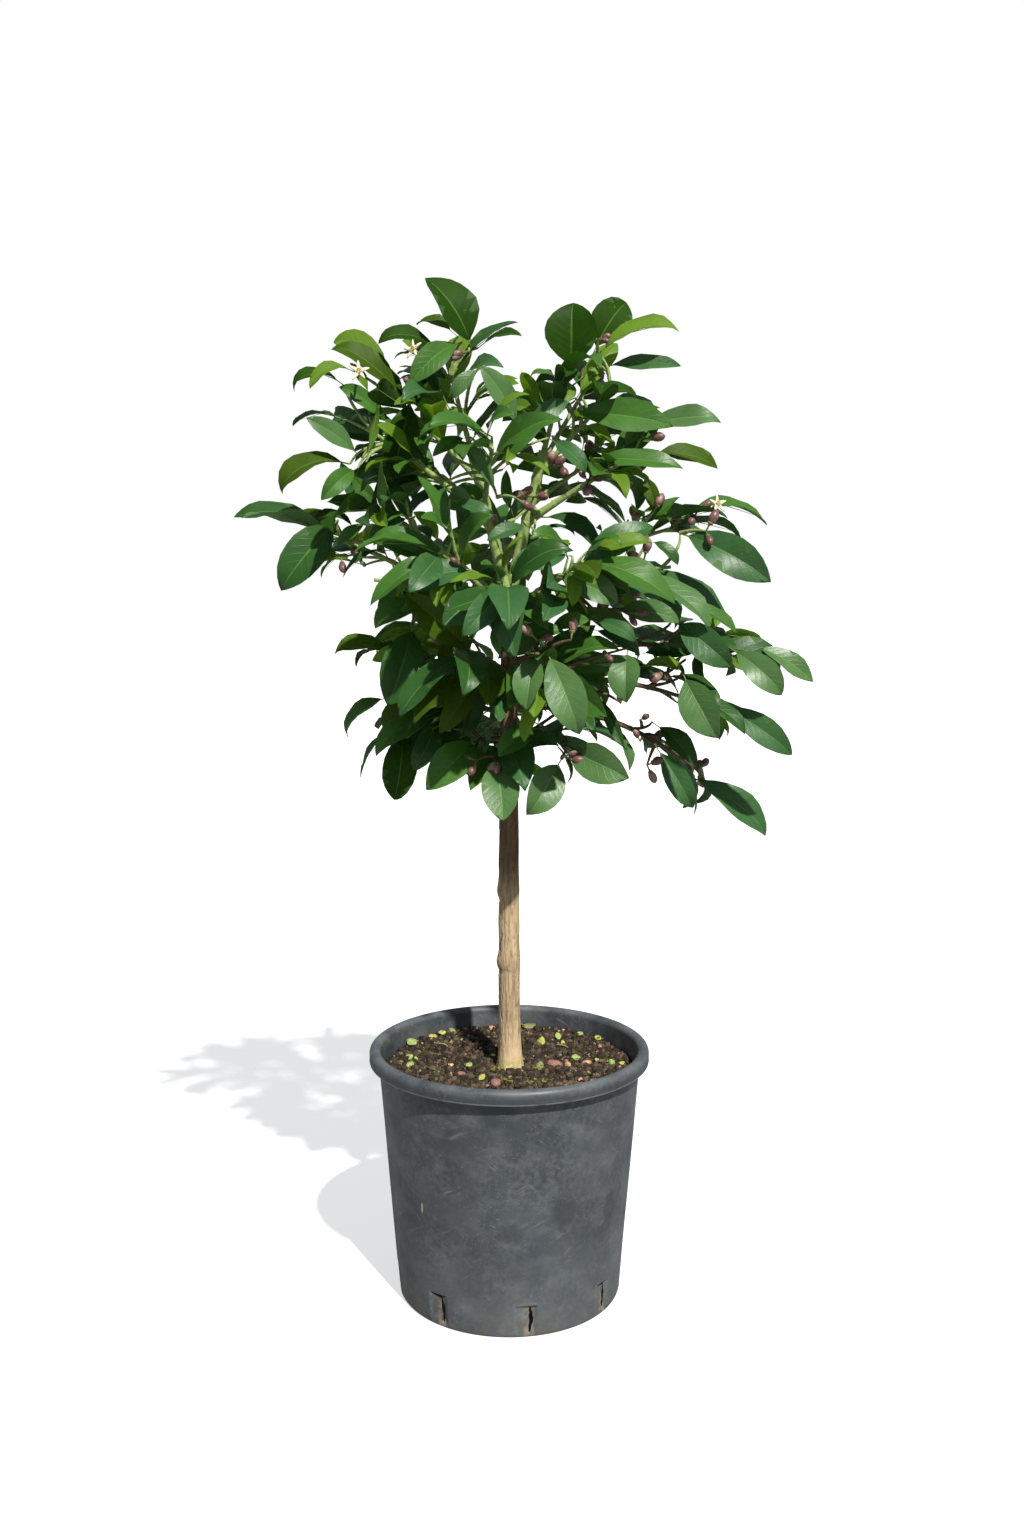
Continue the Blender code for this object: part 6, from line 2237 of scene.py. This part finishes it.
def add_petal(shape, base, lean, out, length):
    """One strap-like petal that rises and bends back."""
    rows = 7
    points = []
    side = lean.cross(out)
    for layer in (0, 1):
        for row in range(rows + 1):
            share = row / rows
            angle = share * 2.0
            centre = base + lean * math.sin(angle) * length * 0.42 + out * (1 - math.cos(angle)) * length * 0.62
            inward = (lean * -math.sin(angle) + out * -math.cos(angle)).normalized()
            half = length * 0.17 * math.sin(math.pi * mix(0.16, 0.95, share)) ** 0.8
            for across in (-1, 0, 1):
                cup = inward * (0.0006 if layer else 0) + inward * abs(across) * half * 0.35
                points.append(centre + side * across * half + cup)
    add_to(shape, points, strip_faces(rows, far=1), Matrix.Identity(4), 0)


# Stage


def build_camera():
    """The photograph's viewpoint, solved from the pot's lip."""
    data = bpy.data.cameras.new("camera")
    data.sensor_width = 36
    data.lens = data.sensor_width * FOCAL / PICTURE[1]
    made = shown("camera", data)
    made.location = CAMERA
    made.rotation_euler = (math.radians(90) - CAMERA_DIP, 0, 0)
    bpy.context.scene.camera = made


def camera_sees(tree, own, others):
    """Ends a tree with two shaders: one for the camera, and one for all other light."""
    seen = node(tree, "ShaderNodeLightPath").outputs["Is Camera Ray"]
    look = node(tree, "ShaderNodeMixShader", {0: seen, 1: others.outputs[0], 2: own.outputs[0]})
    put(next(n for n in tree.nodes if n.type.startswith("OUTPUT")).inputs["Surface"], look.outputs[0])


def build_stage():
    """A wide pale floor, one soft main light from the front right, and even light from all round."""
    studio = bpy.context.scene.lemon_studio
    material, tree, shader = new_material("studio_floor", 0.9, specular=0.2)
    put(shader.inputs["Base Color"], (0.30, 0.30, 0.30, 1))
    pale = node(tree, "ShaderNodeBsdfDiffuse", {"Color": (0.60, 0.60, 0.60, 1)})
    lifted = node(tree, "ShaderNodeEmission", {"Color": (1, 1, 1, 1), "Strength": 0.62})
    camera_sees(tree, node(tree, "ShaderNodeAddShader", {0: pale.outputs[0], 1: lifted.outputs[0]}), shader)
    shape = bmesh.new()
    bmesh.ops.create_circle(shape, cap_ends=True, segments=64, radius=30)
    bmesh_object("studio_floor", shape, [material])
    lamp = bpy.data.lights.new("main_light", "SUN")
    lamp.energy, lamp.angle, lamp.color = studio.sun_strength, studio.sun_softness, (1.0, 0.965, 0.90)
    way = place(math.degrees(studio.sun_bearing), math.cos(studio.sun_height), math.sin(studio.sun_height))
    shown("main_light", lamp).rotation_euler = way.to_track_quat("Z", "Y").to_euler()
    world = bpy.data.worlds.new("studio")
    world.use_nodes = True
    bpy.context.scene.world = world
    light = world.node_tree.nodes["Background"]
    put(light.inputs["Color"], (0.80, 0.90, 1.0, 1))
    put(light.inputs["Strength"], studio.fill_strength)
    behind = node(world.node_tree, "ShaderNodeBackground", {"Color": (1, 1, 1, 1), "Strength": 1.0})
    camera_sees(world.node_tree, behind, light)
    bpy.context.scene.view_settings.view_transform = "Standard"


# Operators, panel and registration


GROWN = {}


def crown_of_tree():
    if "crown" not in GROWN:
        GROWN["crown"] = grow()
    return GROWN["crown"]


class LEMON_OT_stage(bpy.types.Operator):
    """Set up the camera, the pale floor and the soft light"""

    bl_idname = "lemon.stage"
    bl_label = "Studio stage"

    def execute(self, context):
        build_camera()
        build_stage()
        return {"FINISHED"}


class LEMON_OT_pot(bpy.types.Operator):
    """Build the scuffed nursery pot with its rolled lip and drain pockets"""

    bl_idname = "lemon.pot"
    bl_label = "Nursery pot"

    def execute(self, context):
        build_pot()
        return {"FINISHED"}


class LEMON_OT_soil(bpy.types.Operator):
    """Build the soil with crumbs, stones, straws, scraps and seedlings"""

    bl_idname = "lemon.soil"
    bl_label = "Soil"

    def execute(self, context):
        build_soil()
        build_crumbs()
        build_finds()
        return {"FINISHED"}


class LEMON_OT_trunk(bpy.types.Operator):
    """Build the trunk with its bark"""

    bl_idname = "lemon.trunk"
    bl_label = "Trunk"

    def execute(self, context):
        build_trunk()
        return {"FINISHED"}


class LEMON_OT_boughs(bpy.types.Operator):
    """Build the leaders, boughs and twigs"""

    bl_idname = "lemon.boughs"
    bl_label = "Boughs and twigs"

    def execute(self, context):
        build_boughs(crown_of_tree())
        build_twigs(crown_of_tree())
        return {"FINISHED"}


class LEMON_OT_leaves(bpy.types.Operator):
    """Grow the leaves of every mass"""

    bl_idname = "lemon.leaves"
    bl_label = "Leaves"

    def execute(self, context):
        build_leaves(crown_of_tree())
        return {"FINISHED"}


class LEMON_OT_buds(bpy.types.Operator):
    """Add clusters of flower buds and a few open flowers"""

    bl_idname = "lemon.buds"
    bl_label = "Buds and flowers"

    def execute(self, context):
        build_buds(crown_of_tree())
        return {"FINISHED"}


OPERATORS = (
    LEMON_OT_stage,
    LEMON_OT_pot,
    LEMON_OT_soil,
    LEMON_OT_trunk,
    LEMON_OT_boughs,
    LEMON_OT_leaves,
    LEMON_OT_buds,
)


class LEMON_PT_tree(bpy.types.Panel):
    bl_idname = "LEMON_PT_tree"
    bl_label = "Potted lemon tree"
    bl_space_type = "VIEW_3D"
    bl_region_type = "UI"
    bl_category = "Lemon tree"

    def draw(self, context):
        for operator in OPERATORS:
            self.layout.operator(operator.bl_idname)
        for group in SETTINGS:
            box = self.layout.box()
            values = getattr(context.scene, group)
            for label in values.bl_rna.properties.keys():
                if label not in ("rna_type", "name"):
                    box.prop(values, label)


SETTINGS = {
    "lemon_pot": PotAndSoilSizes,
    "lemon_plant": PlantSizes,
    "lemon_colours": TreeColours,
    "lemon_studio": StudioSettings,
}


def register():
    for kind in (*SETTINGS.values(), *OPERATORS, LEMON_PT_tree):
        bpy.utils.register_class(kind)
    for name, kind in SETTINGS.items():
        setattr(bpy.types.Scene, name, PointerProperty(type=kind))


def unregister():
    for name in SETTINGS:
        delattr(bpy.types.Scene, name)
    for kind in (LEMON_PT_tree, *OPERATORS, *SETTINGS.values()):
        bpy.utils.unregister_class(kind)


def main():
    register()
    bpy.ops.lemon.stage()
    bpy.ops.lemon.pot()
    bpy.ops.lemon.soil()
    bpy.ops.lemon.trunk()
    bpy.ops.lemon.boughs()
    bpy.ops.lemon.leaves()
    bpy.ops.lemon.buds()


if __name__ == "__main__":
    main()
